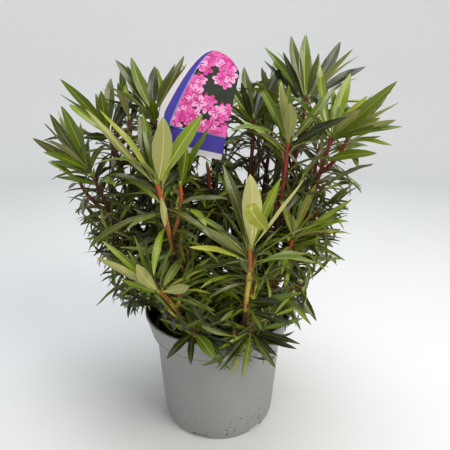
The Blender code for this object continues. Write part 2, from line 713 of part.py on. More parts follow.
def main():
    for thing in list(bpy.data.objects):
        bpy.data.objects.remove(thing)
    model = bpy.data.collections.new("potted_rhododendron")
    cutters = bpy.data.collections.new("cutters")
    bpy.context.scene.collection.children.link(model)
    bpy.context.scene.collection.children.link(cutters)
    grey_plastic = material("grey_pot_plastic", (0.26, 0.26, 0.24), 0.62)
    peat = material("peat_soil", (0.018, 0.013, 0.010), 0.95)
    old_bark = material("old_bark", (0.075, 0.045, 0.030), 0.85)
    young_bark = material("young_bark", (0.19, 0.075, 0.035), 0.70)
    foliage = material("foliage", (0.085, 0.135, 0.030), 0.42)
    printed_card = material("printed_card", (0.13, 0.06, 0.36), 0.35)
    black_plastic = material("black_stick_plastic", (0.012, 0.012, 0.012), 0.50)

    stick = stick_path()
    stick_radii = [STICK_RADIUS] * len(stick)
    make_pot(grey_plastic, model, cutters)
    hole_mesh = tube("stick_hole", [stick[0] - UP * GAP, *stick[1:]], [r + GAP for r in stick_radii], cutters)
    hole = add_object("stick_hole", hole_mesh, cutters)
    hide(hole)
    make_soil(peat, model, hole)
    make_card(printed_card, model)
    stick_mesh = tube("label_stick", stick, stick_radii, model)
    add_object("label_stick", stick_mesh, model, black_plastic)
    make_limbs(old_bark, young_bark, model, cutters)

    solids = [solid_of(*triangles_of(thing)) for thing in model.objects]
    for number, mass in enumerate(MASSES):
        shapes = grow_mass(mass, number, solids)
        join_mass(f"foliage_{mass}", shapes, foliage, model)
        solids += [solid_of(*shape) for shape in shapes]


main()
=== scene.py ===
import json
import math
import random
from collections import namedtuple
from math import cos, pi, radians, sin, tau

import bmesh
import bpy
import numpy as np
from mathutils import Matrix, Vector, noise
from mathutils.bvhtree import BVHTree

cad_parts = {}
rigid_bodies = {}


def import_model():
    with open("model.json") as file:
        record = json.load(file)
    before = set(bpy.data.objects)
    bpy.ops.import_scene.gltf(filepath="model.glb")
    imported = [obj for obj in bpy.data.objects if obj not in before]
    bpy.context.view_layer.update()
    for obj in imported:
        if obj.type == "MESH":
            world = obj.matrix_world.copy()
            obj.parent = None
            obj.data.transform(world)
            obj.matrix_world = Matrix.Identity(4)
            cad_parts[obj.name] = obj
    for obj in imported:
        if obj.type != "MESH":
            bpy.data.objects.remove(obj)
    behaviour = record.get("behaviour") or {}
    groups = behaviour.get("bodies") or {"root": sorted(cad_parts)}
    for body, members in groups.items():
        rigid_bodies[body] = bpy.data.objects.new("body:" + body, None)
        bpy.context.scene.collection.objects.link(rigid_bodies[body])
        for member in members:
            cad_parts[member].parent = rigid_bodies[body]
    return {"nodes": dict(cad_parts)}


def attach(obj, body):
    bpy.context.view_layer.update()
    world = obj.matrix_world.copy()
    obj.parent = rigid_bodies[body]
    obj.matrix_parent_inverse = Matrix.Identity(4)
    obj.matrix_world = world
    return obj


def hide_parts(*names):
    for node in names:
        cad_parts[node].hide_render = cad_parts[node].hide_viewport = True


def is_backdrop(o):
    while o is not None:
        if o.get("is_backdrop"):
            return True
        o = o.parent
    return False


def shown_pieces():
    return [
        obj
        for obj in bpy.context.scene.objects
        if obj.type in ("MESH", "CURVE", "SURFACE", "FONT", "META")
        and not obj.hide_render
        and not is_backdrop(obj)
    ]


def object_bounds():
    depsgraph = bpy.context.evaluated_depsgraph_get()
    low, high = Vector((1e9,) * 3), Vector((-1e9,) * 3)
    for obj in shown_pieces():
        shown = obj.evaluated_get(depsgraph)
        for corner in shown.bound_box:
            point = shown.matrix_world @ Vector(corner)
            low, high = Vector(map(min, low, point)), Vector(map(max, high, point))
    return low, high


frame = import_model()
cadLow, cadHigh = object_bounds()
up = Vector((0.0, 0.0, 1.0))
goldenAngle = radians(137.5)


# An sRGB hex colour as the linear colour that a shader takes.
def linear(hexText):
    parts = [int(hexText[i:i + 2], 16) / 255 for i in (1, 3, 5)]
    return tuple(p / 12.92 if p <= 0.04045 else ((p + 0.055) / 1.055) ** 2.4 for p in parts) + (1.0,)


# One node with its settings. An input that is given a socket is linked to it, any other is set.
def addNode(tree, kind, inputs=None, **settings):
    node = tree.nodes.new(kind)
    for setting, value in settings.items():
        setattr(node, setting, value)
    for name, source in (inputs or {}).items():
        if isinstance(source, bpy.types.NodeSocket):
            tree.links.new(source, node.inputs[name])
        else:
            node.inputs[name].default_value = source
    return node


# A material on a Principled shader, with the sockets that stay the same all over.
def newFinish(name, colour, roughness, **sockets):
    finish = bpy.data.materials.new(name)
    finish.use_nodes = True
    finish.diffuse_color = linear(colour)
    shader = finish.node_tree.nodes["Principled BSDF"]
    shader.inputs["Base Color"].default_value = linear(colour)
    shader.inputs["Roughness"].default_value = roughness
    for socket, value in sockets.items():
        shader.inputs[socket.replace("_", " ")].default_value = value
    return finish, finish.node_tree, shader


# Gives a finish a colour that goes from one to another over a soft pattern, and hands back the pattern.
def mottle(finish, colour, other, **pattern):
    tree = finish.node_tree
    cloud = addNode(tree, "ShaderNodeTexNoise", pattern).outputs["Fac"]
    mix = addNode(tree, "ShaderNodeMix", {"Factor": cloud, "A": linear(colour), "B": linear(other)},
            data_type="RGBA")
    tree.links.new(mix.outputs["Result"], tree.nodes["Principled BSDF"].inputs["Base Color"])
    return cloud


# Gives a finish the relief of a pattern, by its strength and its depth in metres.
def emboss(finish, pattern, strength, depth):
    tree = finish.node_tree
    bump = addNode(tree, "ShaderNodeBump", {"Height": pattern, "Strength": strength, "Distance": depth})
    tree.links.new(bump.outputs["Normal"], tree.nodes["Principled BSDF"].inputs["Normal"])


# A new object at the origin, in the scene: a mesh with its finishes, a curve, a lamp or a camera.
def place(name, data, *finishes):
    thing = bpy.data.objects.new(name, data)
    bpy.context.scene.collection.objects.link(thing)
    for finish in finishes:
        data.materials.append(finish)
    return thing


# The mesh of a shape that has been put together face by face.
def meshOf(shape, name):
    mesh = bpy.data.meshes.new(name)
    shape.to_mesh(mesh)
    shape.free()
    return mesh


# The object's shape with its modifiers worked out, as a plain mesh; the object is removed.
def plainMesh(thing, name):
    bpy.context.view_layer.update()
    mesh = bpy.data.meshes.new_from_object(thing.evaluated_get(bpy.context.evaluated_depsgraph_get()))
    mesh.transform(thing.matrix_world)
    bpy.data.objects.remove(thing)
    mesh.name = name
    return mesh


# A Geometry Nodes tree with named inputs, and the sockets that carry them inside it.
def newTree(name, **inputs):
    tree = bpy.data.node_groups.new(name, "GeometryNodeTree")
    tree.interface.new_socket("Geometry", in_out="INPUT", socket_type="NodeSocketGeometry")
    for label, kind in inputs.items():
        tree.interface.new_socket(label, in_out="INPUT", socket_type="NodeSocket" + kind)
    tree.interface.new_socket("Geometry", in_out="OUTPUT", socket_type="NodeSocketGeometry")
    return tree, addNode(tree, "NodeGroupInput").outputs


# What a tree makes of a mesh, as an object with a plain mesh.
def grown(name, mesh, tree, **values):
    seed = place(name + "_seed", mesh)
    modifier = seed.modifiers.new(tree.name, "NODES")
    modifier.node_group = tree
    for item in tree.interface.items_tree:
        if item.in_out == "INPUT" and item.name in values:
            modifier[item.identifier] = values[item.name]
    return place(name, plainMesh(seed, name))


# A value for each point of a mesh.
def setAttribute(mesh, name, kind, values):
    attribute = mesh.attributes.new(name, kind, "POINT")
    field = "vector" if kind == "FLOAT_VECTOR" else "value"
    attribute.data.foreach_set(field, np.array(values, np.int32 if kind == "INT" else np.float32).ravel())


print("camera and light")
view = {
    "eye": (0.01, -0.596, 0.503), "tiltDown": 18.4, "focalPixels": 440.0, "imagePixels": 450.0,
    "sensor": 36.0,
}
camera = place("camera", bpy.data.cameras.new("camera"))
camera.data.sensor_width = view["sensor"]
camera.data.lens = view["focalPixels"] / view["imagePixels"] * view["sensor"]
camera.location = view["eye"]
camera.rotation_euler = (radians(90.0 - view["tiltDown"]), 0.0, 0.0)
camera.data.clip_start = 0.01
bpy.context.scene.camera = camera
bpy.context.scene.view_settings.view_transform = "Standard"

studio = {
    "floorRadius": 1.9, "coveRadius": 0.55, "wallHeight": 2.6, "covePoints": 9, "steps": 96,
    "colour": "#dcdddc", "roughness": 0.85, "airColour": "#e4e9ee", "airStrength": 0.45,
    # A lamp's name: where it hangs, what it aims at, its side in metres, its power in watts, its colour.
    "lamps": {
        "window": ((0.95, -0.85, 1.45), (0.0, 0.0, 0.3), 0.8, 21.0, "#fff8ee"),
        "ceiling": ((0.05, 0.1, 1.95), (0.0, 0.0, 0.35), 1.1, 18.0, "#f2f6ff"),
        "front": ((-0.45, -1.6, 1.2), (0.0, 0.0, 0.3), 1.0, 5.0, "#ffffff"),
        "backdrop": ((0.0, 0.6, 2.3), (0.0, 2.4, 0.9), 1.6, 17.0, "#f4f6f8"),
    },
}


# A paper floor that turns up all round into a wall, with soft lamps over it.
def makeStudio():
    radius, cove, height = studio["floorRadius"], studio["coveRadius"], studio["wallHeight"]
    profile = [(0.0, 0.0)]
    turns = np.linspace(0, pi / 2, studio["covePoints"])
    profile += [(radius + cove * sin(turn), cove - cove * cos(turn)) for turn in turns]
    profile += [(radius + cove, height)]
    paper, _, _ = newFinish("seamlessPaper", studio["colour"], studio["roughness"])
    floor = place("floor", latheMesh("floor", [(*point, 0) for point in profile], studio["steps"]), paper)
    floor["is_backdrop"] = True
    world = bpy.data.worlds.new("air")
    bpy.context.scene.world = world
    world.use_nodes = True
    air = world.node_tree.nodes["Background"]
    air.inputs["Color"].default_value = linear(studio["airColour"])
    air.inputs["Strength"].default_value = studio["airStrength"]
    for name, (spot, aim, side, power, colour) in studio["lamps"].items():
        lamp = bpy.data.lights.new(name, "AREA")
        lamp.size = side
        lamp.energy = power
        lamp.color = linear(colour)[:3]
        holder = place(name, lamp)
        holder.location = spot
        holder.rotation_euler = (Vector(aim) - Vector(spot)).to_track_quat("-Z", "Y").to_euler()


# A shape turned about Z from (radius, height, finish) points, where a point on the axis closes it.
def latheMesh(name, profile, steps):
    shape = bmesh.new()
    rings = []
    for radius, height, _ in profile:
        if radius == 0.0:
            rings.append([shape.verts.new((0.0, 0.0, height))] * steps)
            continue
        turns = [tau * step / steps for step in range(steps)]
        rings.append([shape.verts.new((radius * cos(t), radius * sin(t), height)) for t in turns])
    for ring, (before, after) in enumerate(zip(rings, rings[1:])):
        for step in range(steps):
            follow = (step + 1) % steps
            corners = [before[step], before[follow], after[follow], after[step]]
            face = shape.faces.new(list(dict.fromkeys(corners)))
            face.material_index = profile[ring][2]
            face.smooth = True
    bmesh.ops.recalc_face_normals(shape, faces=shape.faces)
    return meshOf(shape, name)


# Turns a closed mesh's faces outwards.
def faceOutwards(mesh):
    shape = bmesh.new()
    shape.from_mesh(mesh)
    bmesh.ops.recalc_face_normals(shape, faces=shape.faces)
    shape.to_mesh(mesh)
    shape.free()


# A rounding takes up to this share of the sides that meet at its corner.
mostRounding = 0.45


# An outline of (x, y, finish, rounding) points, with each corner rounded by its own radius.
def rounded(corners, steps=4):
    points = []
    for number, (x, y, finish, radius) in enumerate(corners):
        here = Vector((x, y))
        if radius == 0.0 or number in (0, len(corners) - 1):
            points.append((x, y, finish))
            continue
        before, after = (Vector(corners[number + side][:2]) - here for side in (-1, 1))
        first = here + before.normalized() * min(radius, before.length * mostRounding)
        last = here + after.normalized() * min(radius, after.length * mostRounding)
        earlier = corners[number - 1][2]
        for step in range(steps + 1):
            share = step / steps
            point = first * (1 - share) ** 2 + here * 2 * share * (1 - share) + last * share ** 2
            points.append((point.x, point.y, earlier if share < 0.5 else finish))
    return points


print("pot")
pot = {
    "height": 0.178, "rimRadius": 0.108, "collar": 0.0345, "collarRadius": 0.1005,
    "neckRadius": 0.093, "neckDrop": 0.002, "footRadius": 0.0842, "belly": 1.5, "wall": 0.0022,
    "floor": 0.0095, "lip": 0.0015, "lipHeight": 0.0036, "corner": 0.0035, "rimBevel": (0.0008, 0.0004),
    "wallPoints": 9, "notchCount": 6, "notchFirst": -108.0, "notchSize": (0.044, 0.024, 0.0164),
    # The groove's height over the collar's foot, its width and its depth, and where its sides slant.
    "groove": (0.004, 0.0014, 0.0008), "grooveSlants": (0.6, -0.4),
    # How round the edges are, from the floor over the rim to the underside.
    "roundings": {"floor": 0.002, "step": 0.0015, "inside": 0.0006, "rimTop": 0.0004, "lipTop": 0.0012,
                  "lipFoot": 0.0008, "collarFoot": 0.001, "neck": 0.0008, "foot": 0.0012,
                  "underside": 0.0008},
    "steps": 144, "sharpOver": 40, "outside": "#8d8d8a", "inside": "#0d0d0e",
}


# The outer radius of the pot's wall, which tapers more towards its foot.
def wallRadius(height):
    below = max(0.0, 1.0 - height / (pot["height"] - pot["collar"] - pot["neckDrop"]))
    return pot["neckRadius"] - (pot["neckRadius"] - pot["footRadius"]) * below ** pot["belly"]


# The pot's outline from the middle of its floor over its rim to the middle of its underside, as
# (radius, height, finish, rounding), where finish 0 is the grey outside and 1 the black inside.
def potOutline():
    collarFoot = pot["height"] - pot["collar"]
    neck = collarFoot - pot["neckDrop"]
    wall, corner, lip, rim, top = pot["wall"], pot["corner"], pot["lip"], pot["rimRadius"], pot["height"]
    edges = pot["roundings"]
    heights = np.linspace(pot["floor"] + corner, neck, pot["wallPoints"])
    above, wide, deep = pot["groove"]
    upper, lower = pot["grooveSlants"]
    slope = (rim - pot["collarRadius"]) / (pot["collar"] - pot["lipHeight"] - lip)
    groove = [(pot["collarRadius"] + slope * (above + rise) - depth, collarFoot + above + rise, 0, 0.0)
            for rise, depth in ((wide, 0.0), (wide * upper, deep), (0.0, deep), (wide * lower, 0.0))]
    bevelWide, bevelHigh = pot["rimBevel"]
    return [
        (0.0, pot["floor"], 1, 0.0),
        (wallRadius(pot["floor"]) - wall - corner, pot["floor"], 1, edges["floor"]),
        *((wallRadius(h) - wall, h, 1, 0.0) for h in heights),
        (pot["collarRadius"] - wall, collarFoot + wall, 1, edges["step"]),
        (rim - wall, top - bevelHigh, 1, edges["inside"]),
        (rim - wall + bevelWide, top, 0, edges["rimTop"]),
        (rim + lip, top, 0, edges["lipTop"]),
        (rim + lip, top - pot["lipHeight"], 0, edges["lipFoot"]),
        (rim, top - pot["lipHeight"] - lip, 0, edges["lipFoot"]),
        *groove,
        (pot["collarRadius"], collarFoot, 0, edges["collarFoot"]),
        *((wallRadius(h), h, 0, 0.0 if h < neck else edges["neck"]) for h in heights[::-1]),
        (wallRadius(0.0) - corner / 4, corner, 0, edges["foot"]),
        (pot["footRadius"] - corner, 0.0, 0, edges["underside"]),
        (0.0, 0.0, 0, 0.0),
    ]


# Cuts one drain notch out of the pot's foot, in the direction of a bearing.
def cutNotch(shell, bearing):
    box = bmesh.new()
    bmesh.ops.create_cube(box, size=1.0)
    foot = Vector((cos(bearing), sin(bearing), 0.0)) * pot["footRadius"]
    box.transform(Matrix.Translation(foot) @ Matrix.Rotation(bearing, 4, "Z")
            @ Matrix.Diagonal((*pot["notchSize"], 1.0)))
    cutter = place("notch", meshOf(box, "notch"))
    modifier = shell.modifiers.new("notch", "BOOLEAN")
    modifier.object = cutter
    modifier.operation = "DIFFERENCE"
    bpy.context.view_layer.update()
    evaluated = shell.evaluated_get(bpy.context.evaluated_depsgraph_get())
    shell.data = bpy.data.meshes.new_from_object(evaluated)
    shell.modifiers.clear()
    bpy.data.objects.remove(cutter)


def makePot():
    mesh = latheMesh("potShell", rounded(potOutline()), pot["steps"])
    shell = place("potShell", mesh, greyPlastic(), blackPlastic())
    for number in range(pot["notchCount"]):
        cutNotch(shell, radians(pot["notchFirst"] + number * 360.0 / pot["notchCount"]))
    shell.data.set_sharp_from_angle(angle=radians(pot["sharpOver"]))
    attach(shell, "root")
    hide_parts("pot")


# Moulded polypropylene: a satin skin with a faint grain, a little dust, and specks of peat low down.
def greyPlastic():
    finish, tree, shader = newFinish("mouldedPolypropyleneGrey", pot["outside"], 0.5)
    spot = addNode(tree, "ShaderNodeTexCoord").outputs["Object"]
    cloud = addNode(tree, "ShaderNodeTexNoise", {"Vector": spot, "Scale": 16.0, "Detail": 6.0})
    skin = addNode(tree, "ShaderNodeMix", {"Factor": cloud.outputs["Fac"], "A": linear("#838381"),
            "B": linear("#979794")}, data_type="RGBA")
    speck = addNode(tree, "ShaderNodeTexVoronoi", {"Vector": spot, "Scale": 150.0})
    rare = addNode(tree, "ShaderNodeTexNoise", {"Vector": spot, "Scale": 22.0, "Detail": 2.0})
    height = addNode(tree, "ShaderNodeSeparateXYZ", {"Vector": spot}).outputs["Z"]
    low = addNode(tree, "ShaderNodeMapRange", {"Value": height, "From Min": 0.0, "From Max": 0.11,
            "To Min": 0.4, "To Max": 0.0})
    near = addNode(tree, "ShaderNodeMath", {0: rare.outputs["Fac"], 1: low.outputs["Result"]},
            operation="MULTIPLY")
    dot = addNode(tree, "ShaderNodeMath", {0: near.outputs[0], 1: speck.outputs["Distance"]},
            operation="GREATER_THAN")
    mix = addNode(tree, "ShaderNodeMix", {"Factor": dot.outputs[0], "A": skin.outputs["Result"],
            "B": linear("#2a2018")}, data_type="RGBA")
    tree.links.new(mix.outputs["Result"], shader.inputs["Base Color"])
    rough = addNode(tree, "ShaderNodeMapRange", {"Value": cloud.outputs["Fac"], "To Min": 0.42,
            "To Max": 0.62})
    tree.links.new(rough.outputs["Result"], shader.inputs["Roughness"])
    grain = addNode(tree, "ShaderNodeTexNoise", {"Vector": spot, "Scale": 900.0, "Detail": 2.0})
    emboss(finish, grain.outputs["Fac"], 0.12, 0.0003)
    return finish


# The black inner layer of the same plastic, smoother and wet with soil in places.
def blackPlastic():
    finish, tree, shader = newFinish("mouldedPolypropyleneBlack", pot["inside"], 0.45)
    spot = addNode(tree, "ShaderNodeTexCoord").outputs["Object"]
    cloud = addNode(tree, "ShaderNodeTexNoise", {"Vector": spot, "Scale": 60.0, "Detail": 5.0})
    dust = addNode(tree, "ShaderNodeMapRange", {"Value": cloud.outputs["Fac"], "From Min": 0.5,
            "From Max": 0.75})
    skin = addNode(tree, "ShaderNodeMix", {"Factor": dust.outputs["Result"], "A": linear(pot["inside"]),
            "B": linear("#2a241d")}, data_type="RGBA")
    tree.links.new(skin.outputs["Result"], shader.inputs["Base Color"])
    return finish


print("soil")
soil = {
    "belowRim": 0.041, "mound": 0.004, "flatRadius": 0.022, "rings": 34, "steps": 120, "gap": 0.0004,
    "overFloor": 0.0006, "skirt": (0.006, 0.004, 5), "lumps": 0.0042, "lumpScale": 55.0,
    # How fast the finer lumps lose height, how much finer each layer of them is, and how many layers.
    "lumpLayers": (0.7, 2.1, 5), "smoothEdge": 0.004, "colours": ("#1c1511", "#3a2b20"),
    "knobbly": (0.75, 1.15),
    # How many lie on a square metre, the seed, the smallest and largest size, how far they tilt, the
    # shapes as width and thickness for a length of one, and the finish.
    "scatterings": {
        "soil_crumbs": (42000.0, 3, 0.0012, 0.0042, 0.15, ((0.8, 0.7), (0.9, 0.5)),
                        ("peatCrumb", "#17110d", "#3a2c20")),
        "soil_chips": (2600.0, 8, 0.004, 0.011, 0.3, ((0.45, 0.16), (0.6, 0.2)),
                       ("barkChip", "#3c2a1c", "#74583a")),
        "soil_straws": (2400.0, 5, 0.008, 0.026, 0.35, ((0.07, 0.05), (0.1, 0.05)),
                        ("dryStraw", "#7c6a4c", "#b8a888")),
    },
}


# The height of the compost at a radius: a low mound in the middle.
def soilTop(radius):
    share = max(0.0, (radius - soil["flatRadius"]) / (pot["footRadius"] - soil["flatRadius"]))
    wave = 0.5 + 0.5 * cos(pi * min(1.0, share))
    return pot["height"] - soil["belowRim"] + soil["mound"] * wave


# Peat compost: nearly black when moist, with brown fibres and chips of bark, and no shine.
def peat(name, colour, light):
    finish, tree, _ = newFinish(name, colour, 0.92)
    spot = addNode(tree, "ShaderNodeTexCoord").outputs["Object"]
    fine = mottle(finish, colour, light, Vector=spot, Scale=420.0, Detail=4.0)
    emboss(finish, fine, 0.7, 0.001)
    return finish


def makeSoil():
    edge = pot["height"] - soil["belowRim"]
    inset = pot["wall"] + soil["gap"]
    outer = wallRadius(edge) - inset
    radii = [outer * ring / soil["rings"] for ring in range(soil["rings"] + 1)]
    profile = [(radius, soilTop(radius), 0) for radius in radii]
    below, above, count = soil["skirt"]
    profile += [(wallRadius(h) - inset, h, 0) for h in np.linspace(edge - below, pot["floor"] + above, count)]
    profile += [(0.0, pot["floor"] + soil["overFloor"], 0)]
    mesh = latheMesh("pottingSoil", profile, soil["steps"])
    for vertex in mesh.vertices:
        radius = math.hypot(vertex.co.x, vertex.co.y)
        if vertex.co.z > edge - below / 3 and radius < outer - soil["gap"]:
            lumps = noise.fractal(vertex.co * soil["lumpScale"], *soil["lumpLayers"])
            vertex.co.z += soil["lumps"] * lumps * min(1.0, (outer - radius) / soil["smoothEdge"])
    ground = place("pottingSoil", mesh, peat("peatCompost", *soil["colours"]))
    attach(ground, "root")
    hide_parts("soil")
    return ground


# One lump, chip or straw, a unit long, as a closed rough shape of few faces.
def crumbMesh(name, wide, thick, seed):
    chance = random.Random(seed)
    shape = bmesh.new()
    bmesh.ops.create_icosphere(shape, subdivisions=1, radius=0.5)
    for vertex in shape.verts:
        rough = chance.uniform(*soil["knobbly"])
        vertex.co = Vector((vertex.co.x * rough, vertex.co.y * wide * rough, vertex.co.z * thick * rough))
    return meshOf(shape, name)


# Scatters shapes over the faces that look up, each turned its own way, flat or nearly flat.
def scatterTree():
    tree, inputs = newTree("scatter", Shapes="Collection", Density="Float", Seed="Int", Smallest="Float",
            Largest="Float", Tilt="Float", Finish="Material")
    shapes = addNode(tree, "GeometryNodeCollectionInfo", {
        "Collection": inputs["Shapes"], "Separate Children": True, "Reset Children": True})
    normal = addNode(tree, "GeometryNodeInputNormal").outputs["Normal"]
    facing = addNode(tree, "ShaderNodeSeparateXYZ", {0: normal})
    upper = addNode(tree, "FunctionNodeCompare", {0: facing.outputs["Z"], 1: 0.35}, data_type="FLOAT",
            operation="GREATER_THAN")
    spots = addNode(tree, "GeometryNodeDistributePointsOnFaces", {
        "Mesh": inputs["Geometry"], "Selection": upper.outputs["Result"], "Density": inputs["Density"],
        "Seed": inputs["Seed"]})
    lean = addNode(tree, "ShaderNodeMath", {0: inputs["Tilt"], 1: -1.0}, operation="MULTIPLY")
    low = addNode(tree, "ShaderNodeCombineXYZ", {"X": lean.outputs[0], "Y": lean.outputs[0], "Z": 0.0})
    high = addNode(tree, "ShaderNodeCombineXYZ", {"X": inputs["Tilt"], "Y": inputs["Tilt"], "Z": tau})
    turn = addNode(tree, "FunctionNodeRandomValue", {
        0: low.outputs[0], 1: high.outputs[0], "Seed": inputs["Seed"]}, data_type="FLOAT_VECTOR")
    size = addNode(tree, "FunctionNodeRandomValue", {2: inputs["Smallest"], 3: inputs["Largest"],
            "Seed": inputs["Seed"]}, data_type="FLOAT")
    dealt = addNode(tree, "GeometryNodeInstanceOnPoints", {
        "Points": spots.outputs["Points"], "Instance": shapes.outputs[0], "Pick Instance": True,
        "Rotation": turn.outputs[0], "Scale": size.outputs[1]})
    real = addNode(tree, "GeometryNodeRealizeInstances", {"Geometry": dealt.outputs["Instances"]})
    whole = addNode(tree, "GeometryNodeSetMaterial", {"Geometry": real.outputs["Geometry"],
            "Material": inputs["Finish"]})
    addNode(tree, "NodeGroupOutput", {0: whole.outputs["Geometry"]})
    return tree


def scatterSoil(ground):
    scatter = scatterTree()
    for name, (density, seed, smallest, largest, tilt, kinds, finish) in soil["scatterings"].items():
        shapes = kit(name, [crumbMesh(f"{name}{number}", wide, thick, number)
                            for number, (wide, thick) in enumerate(kinds)])
        piece = grown(name, ground.data.copy(), scatter, Shapes=shapes, Density=density, Seed=seed,
                Smallest=smallest, Largest=largest, Tilt=tilt, Finish=peat(*finish))
        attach(piece, "root")
        discard(shapes)


# A collection of shapes to deal out, in the order of their names; it stays out of the scene.
def kit(name, meshes):
    shapes = bpy.data.collections.new(name)
    for mesh in meshes:
        shapes.objects.link(bpy.data.objects.new(mesh.name, mesh))
    return shapes


# Takes a collection away again with the shapes in it.
def discard(shapes):
    for thing in list(shapes.objects):
        bpy.data.objects.remove(thing)
    bpy.data.collections.remove(shapes)


makeStudio()
makePot()
ground = makeSoil()
scatterSoil(ground)


print("label")
label = {
    "width": 0.086, "height": 0.125, "thickness": 0.0009, "peak": 0.0085, "leftShoulder": (0.075, 1.9),
    "rightShoulder": (0.018, 2.6), "shoulderPoints": 22, "centre": Vector((-0.024, -0.04, 0.475)),
    "lean": 12.0, "ink": 0.00006, "margin": 0.0062, "band": 0.0084, "line": 0.0014, "foot": 0.0075,
    "footBand": 0.0205,
    # The printed picture: trusses of buds and blossoms, dealt out by trial.
    "seed": 7, "tries": 4000, "trusses": 15, "trussGap": 0.015, "trussRadius": 0.0095,
    "trussBlossoms": 5, "trussFlatness": 0.8, "blossomSizes": (0.0076, 0.01), "ovalPoints": 12,
    "trussBuds": 5, "budSize": (0.003, 0.0019), "budSpread": 60, "budReach": (0.7, 1.1),
    # A printed shape's own thickness, and how far the next shape and the next flower lie above it,
    # as parts of an ink's thickness.
    "shapeParts": 4, "nextShapeParts": 50, "nextFlowerParts": 12,
    # The stick, from its foot in the soil to its end behind the card.
    "stickRadius": 0.0016, "stickGap": 0.0003, "stickPulls": (0.3, 0.8), "stickPoints": 9,
    "stickFoot": Vector((0.002, -0.04, 0.105)), "stickFromEdge": 0.004, "stickBehindCard": 0.02,
    "stickBelowCard": 0.012, "stickSharpOver": 50,
}


# The label's own sideways, upward and facing directions, leaning to the right in its plane.
def labelAxes():
    lean = radians(label["lean"])
    across = Vector((cos(lean), 0.0, -sin(lean)))
    along = Vector((sin(lean), 0.0, cos(lean)))
    return across, along, across.cross(along)


# The card's outline, moved in by a margin: its flat foot, then the arched top from right to left.
def cardOutline(margin=0.0, rightMargin=None, foot=0.0):
    right = margin if rightMargin is None else rightMargin
    low = -label["height"] / 2 + foot
    points = [(-label["width"] / 2 + margin, low), (label["width"] / 2 - right, low)]
    for side, (drop, power), inset in ((1, label["rightShoulder"], right), (-1, label["leftShoulder"],
            margin)):
        half = label["width"] / 2 - side * label["peak"] - inset
        arch = []
        for step in range(label["shoulderPoints"]):
            share = sin(pi / 2 * step / (label["shoulderPoints"] - 1))
            arch.append((label["peak"] + side * half * share, label["height"] / 2 - drop * share ** power
                    - inset * share))
        points += arch[::-1] if side > 0 else arch[1:]
    return points


# What of an outline lies inside another that bulges outwards everywhere, going round anticlockwise.
def clipped(points, outline):
    for (ax, ay), (bx, by) in zip(outline, outline[1:] + outline[:1]):
        kept = []
        for (px, py), (qx, qy) in zip(points, points[1:] + points[:1]):
            p = (bx - ax) * (py - ay) - (by - ay) * (px - ax)
            q = (bx - ax) * (qy - ay) - (by - ay) * (qx - ax)
            if p >= 0:
                kept.append((px, py))
            if (p > 0) != (q > 0) and p != q:
                share = p / (p - q)
                kept.append((px + (qx - px) * share, py + (qy - py) * share))
        points = kept
        if len(points) < 3:
            return []
    return points


# Adds a flat outline as a thin closed layer at a height over the card's face.
def addLayer(shape, points, low, high, finish):
    if len(points) < 3:
        return
    bottom = [shape.verts.new((x, y, low)) for x, y in points]
    top = [shape.verts.new((x, y, high)) for x, y in points]
    faces = [shape.faces.new(bottom[::-1]), shape.faces.new(top)]
    for i in range(len(points)):
        j = (i + 1) % len(points)
        faces.append(shape.faces.new((bottom[i], bottom[j], top[j], top[i])))
    for face in faces:
        face.material_index = finish


# Gloss-laminated printed card: flat inks under a clear film, which gives it a broad soft shine.
def printedInk(name, colour, other=None, scale=300.0):
    finish, tree, _ = newFinish(name, colour, 0.42, Coat_Weight=0.1, Coat_Roughness=0.25)
    spot = addNode(tree, "ShaderNodeTexCoord").outputs["Object"]
    mottle(finish, colour, other or colour, Vector=spot, Scale=scale, Detail=3.0)
    wavy = addNode(tree, "ShaderNodeTexNoise", {"Vector": spot, "Scale": 18.0})
    emboss(finish, wavy.outputs["Fac"], 0.1, 0.002)
    return finish


# The card's finishes in their order: each ink's name, its two colours and how fine its mottle is.
whiteCard, indigo, sky, darkLeaf, palePink, pink, rosePink, deepPink, stamen = range(9)
inks = (
    ("whiteCard", "#d9cfd2", "#e0d8da", 40.0), ("indigoInk", "#3a2f96", "#4538a8", 30.0),
    ("skyInk", "#7fb2ea"), ("darkLeafInk", "#15180f", "#2c3a22", 160.0),
    ("palePinkInk", "#f6a0d6", "#f4b8e0"), ("pinkInk", "#e850ac", "#ee74be"),
    ("rosePinkInk", "#cc2a8c", "#e0489e"), ("deepPinkInk", "#9a1058", "#b82474"),
    ("stamenInk", "#f4c8dc"),
)
# A part of a blossom: how far out it lies and its half sizes, as shares of the blossom's size.
blossomParts = {
    "petal": (0.58, 0.47, 0.34),
    "streak": (0.36, 0.26, 0.09),
    "throat": (0.0, 0.13, 0.13),
    "stamens": (0.1, 0.05, 0.05),
    "squash": (0.7, 1.0),
    "play": 0.12,
}


# A round five-petalled blossom: pale petals, each with a deeper streak, round a deep throat with stamens.
def blossom(x, y, size, turn, chance):
    shapes = []
    squash = chance.uniform(*blossomParts["squash"])

    def add(part, aim, finish):
        away, long, wide = blossomParts[part]
        shapes.append((oval(x, y, size * away, aim, size * long, size * wide, squash), finish))

    for petal in range(5):
        aim = turn + petal * tau / 5 + chance.uniform(-blossomParts["play"], blossomParts["play"])
        add("petal", aim, chance.choice((palePink, pink, pink, rosePink)))
    for petal in range(5):
        add("streak", turn + petal * tau / 5, deepPink if petal % 2 else rosePink)
    add("throat", turn, deepPink)
    add("stamens", turn, stamen)
    return shapes


# An oval at a distance from a point, flattened upwards by a share.
def oval(x, y, away, aim, long, wide, squash):
    points = []
    for step in range(label["ovalPoints"]):
        around = tau * step / label["ovalPoints"]
        out, side = away + long * cos(around), wide * sin(around)
        points.append((x + out * cos(aim) - side * sin(aim), y + (out * sin(aim)
                + side * cos(aim)) * squash))
    return points


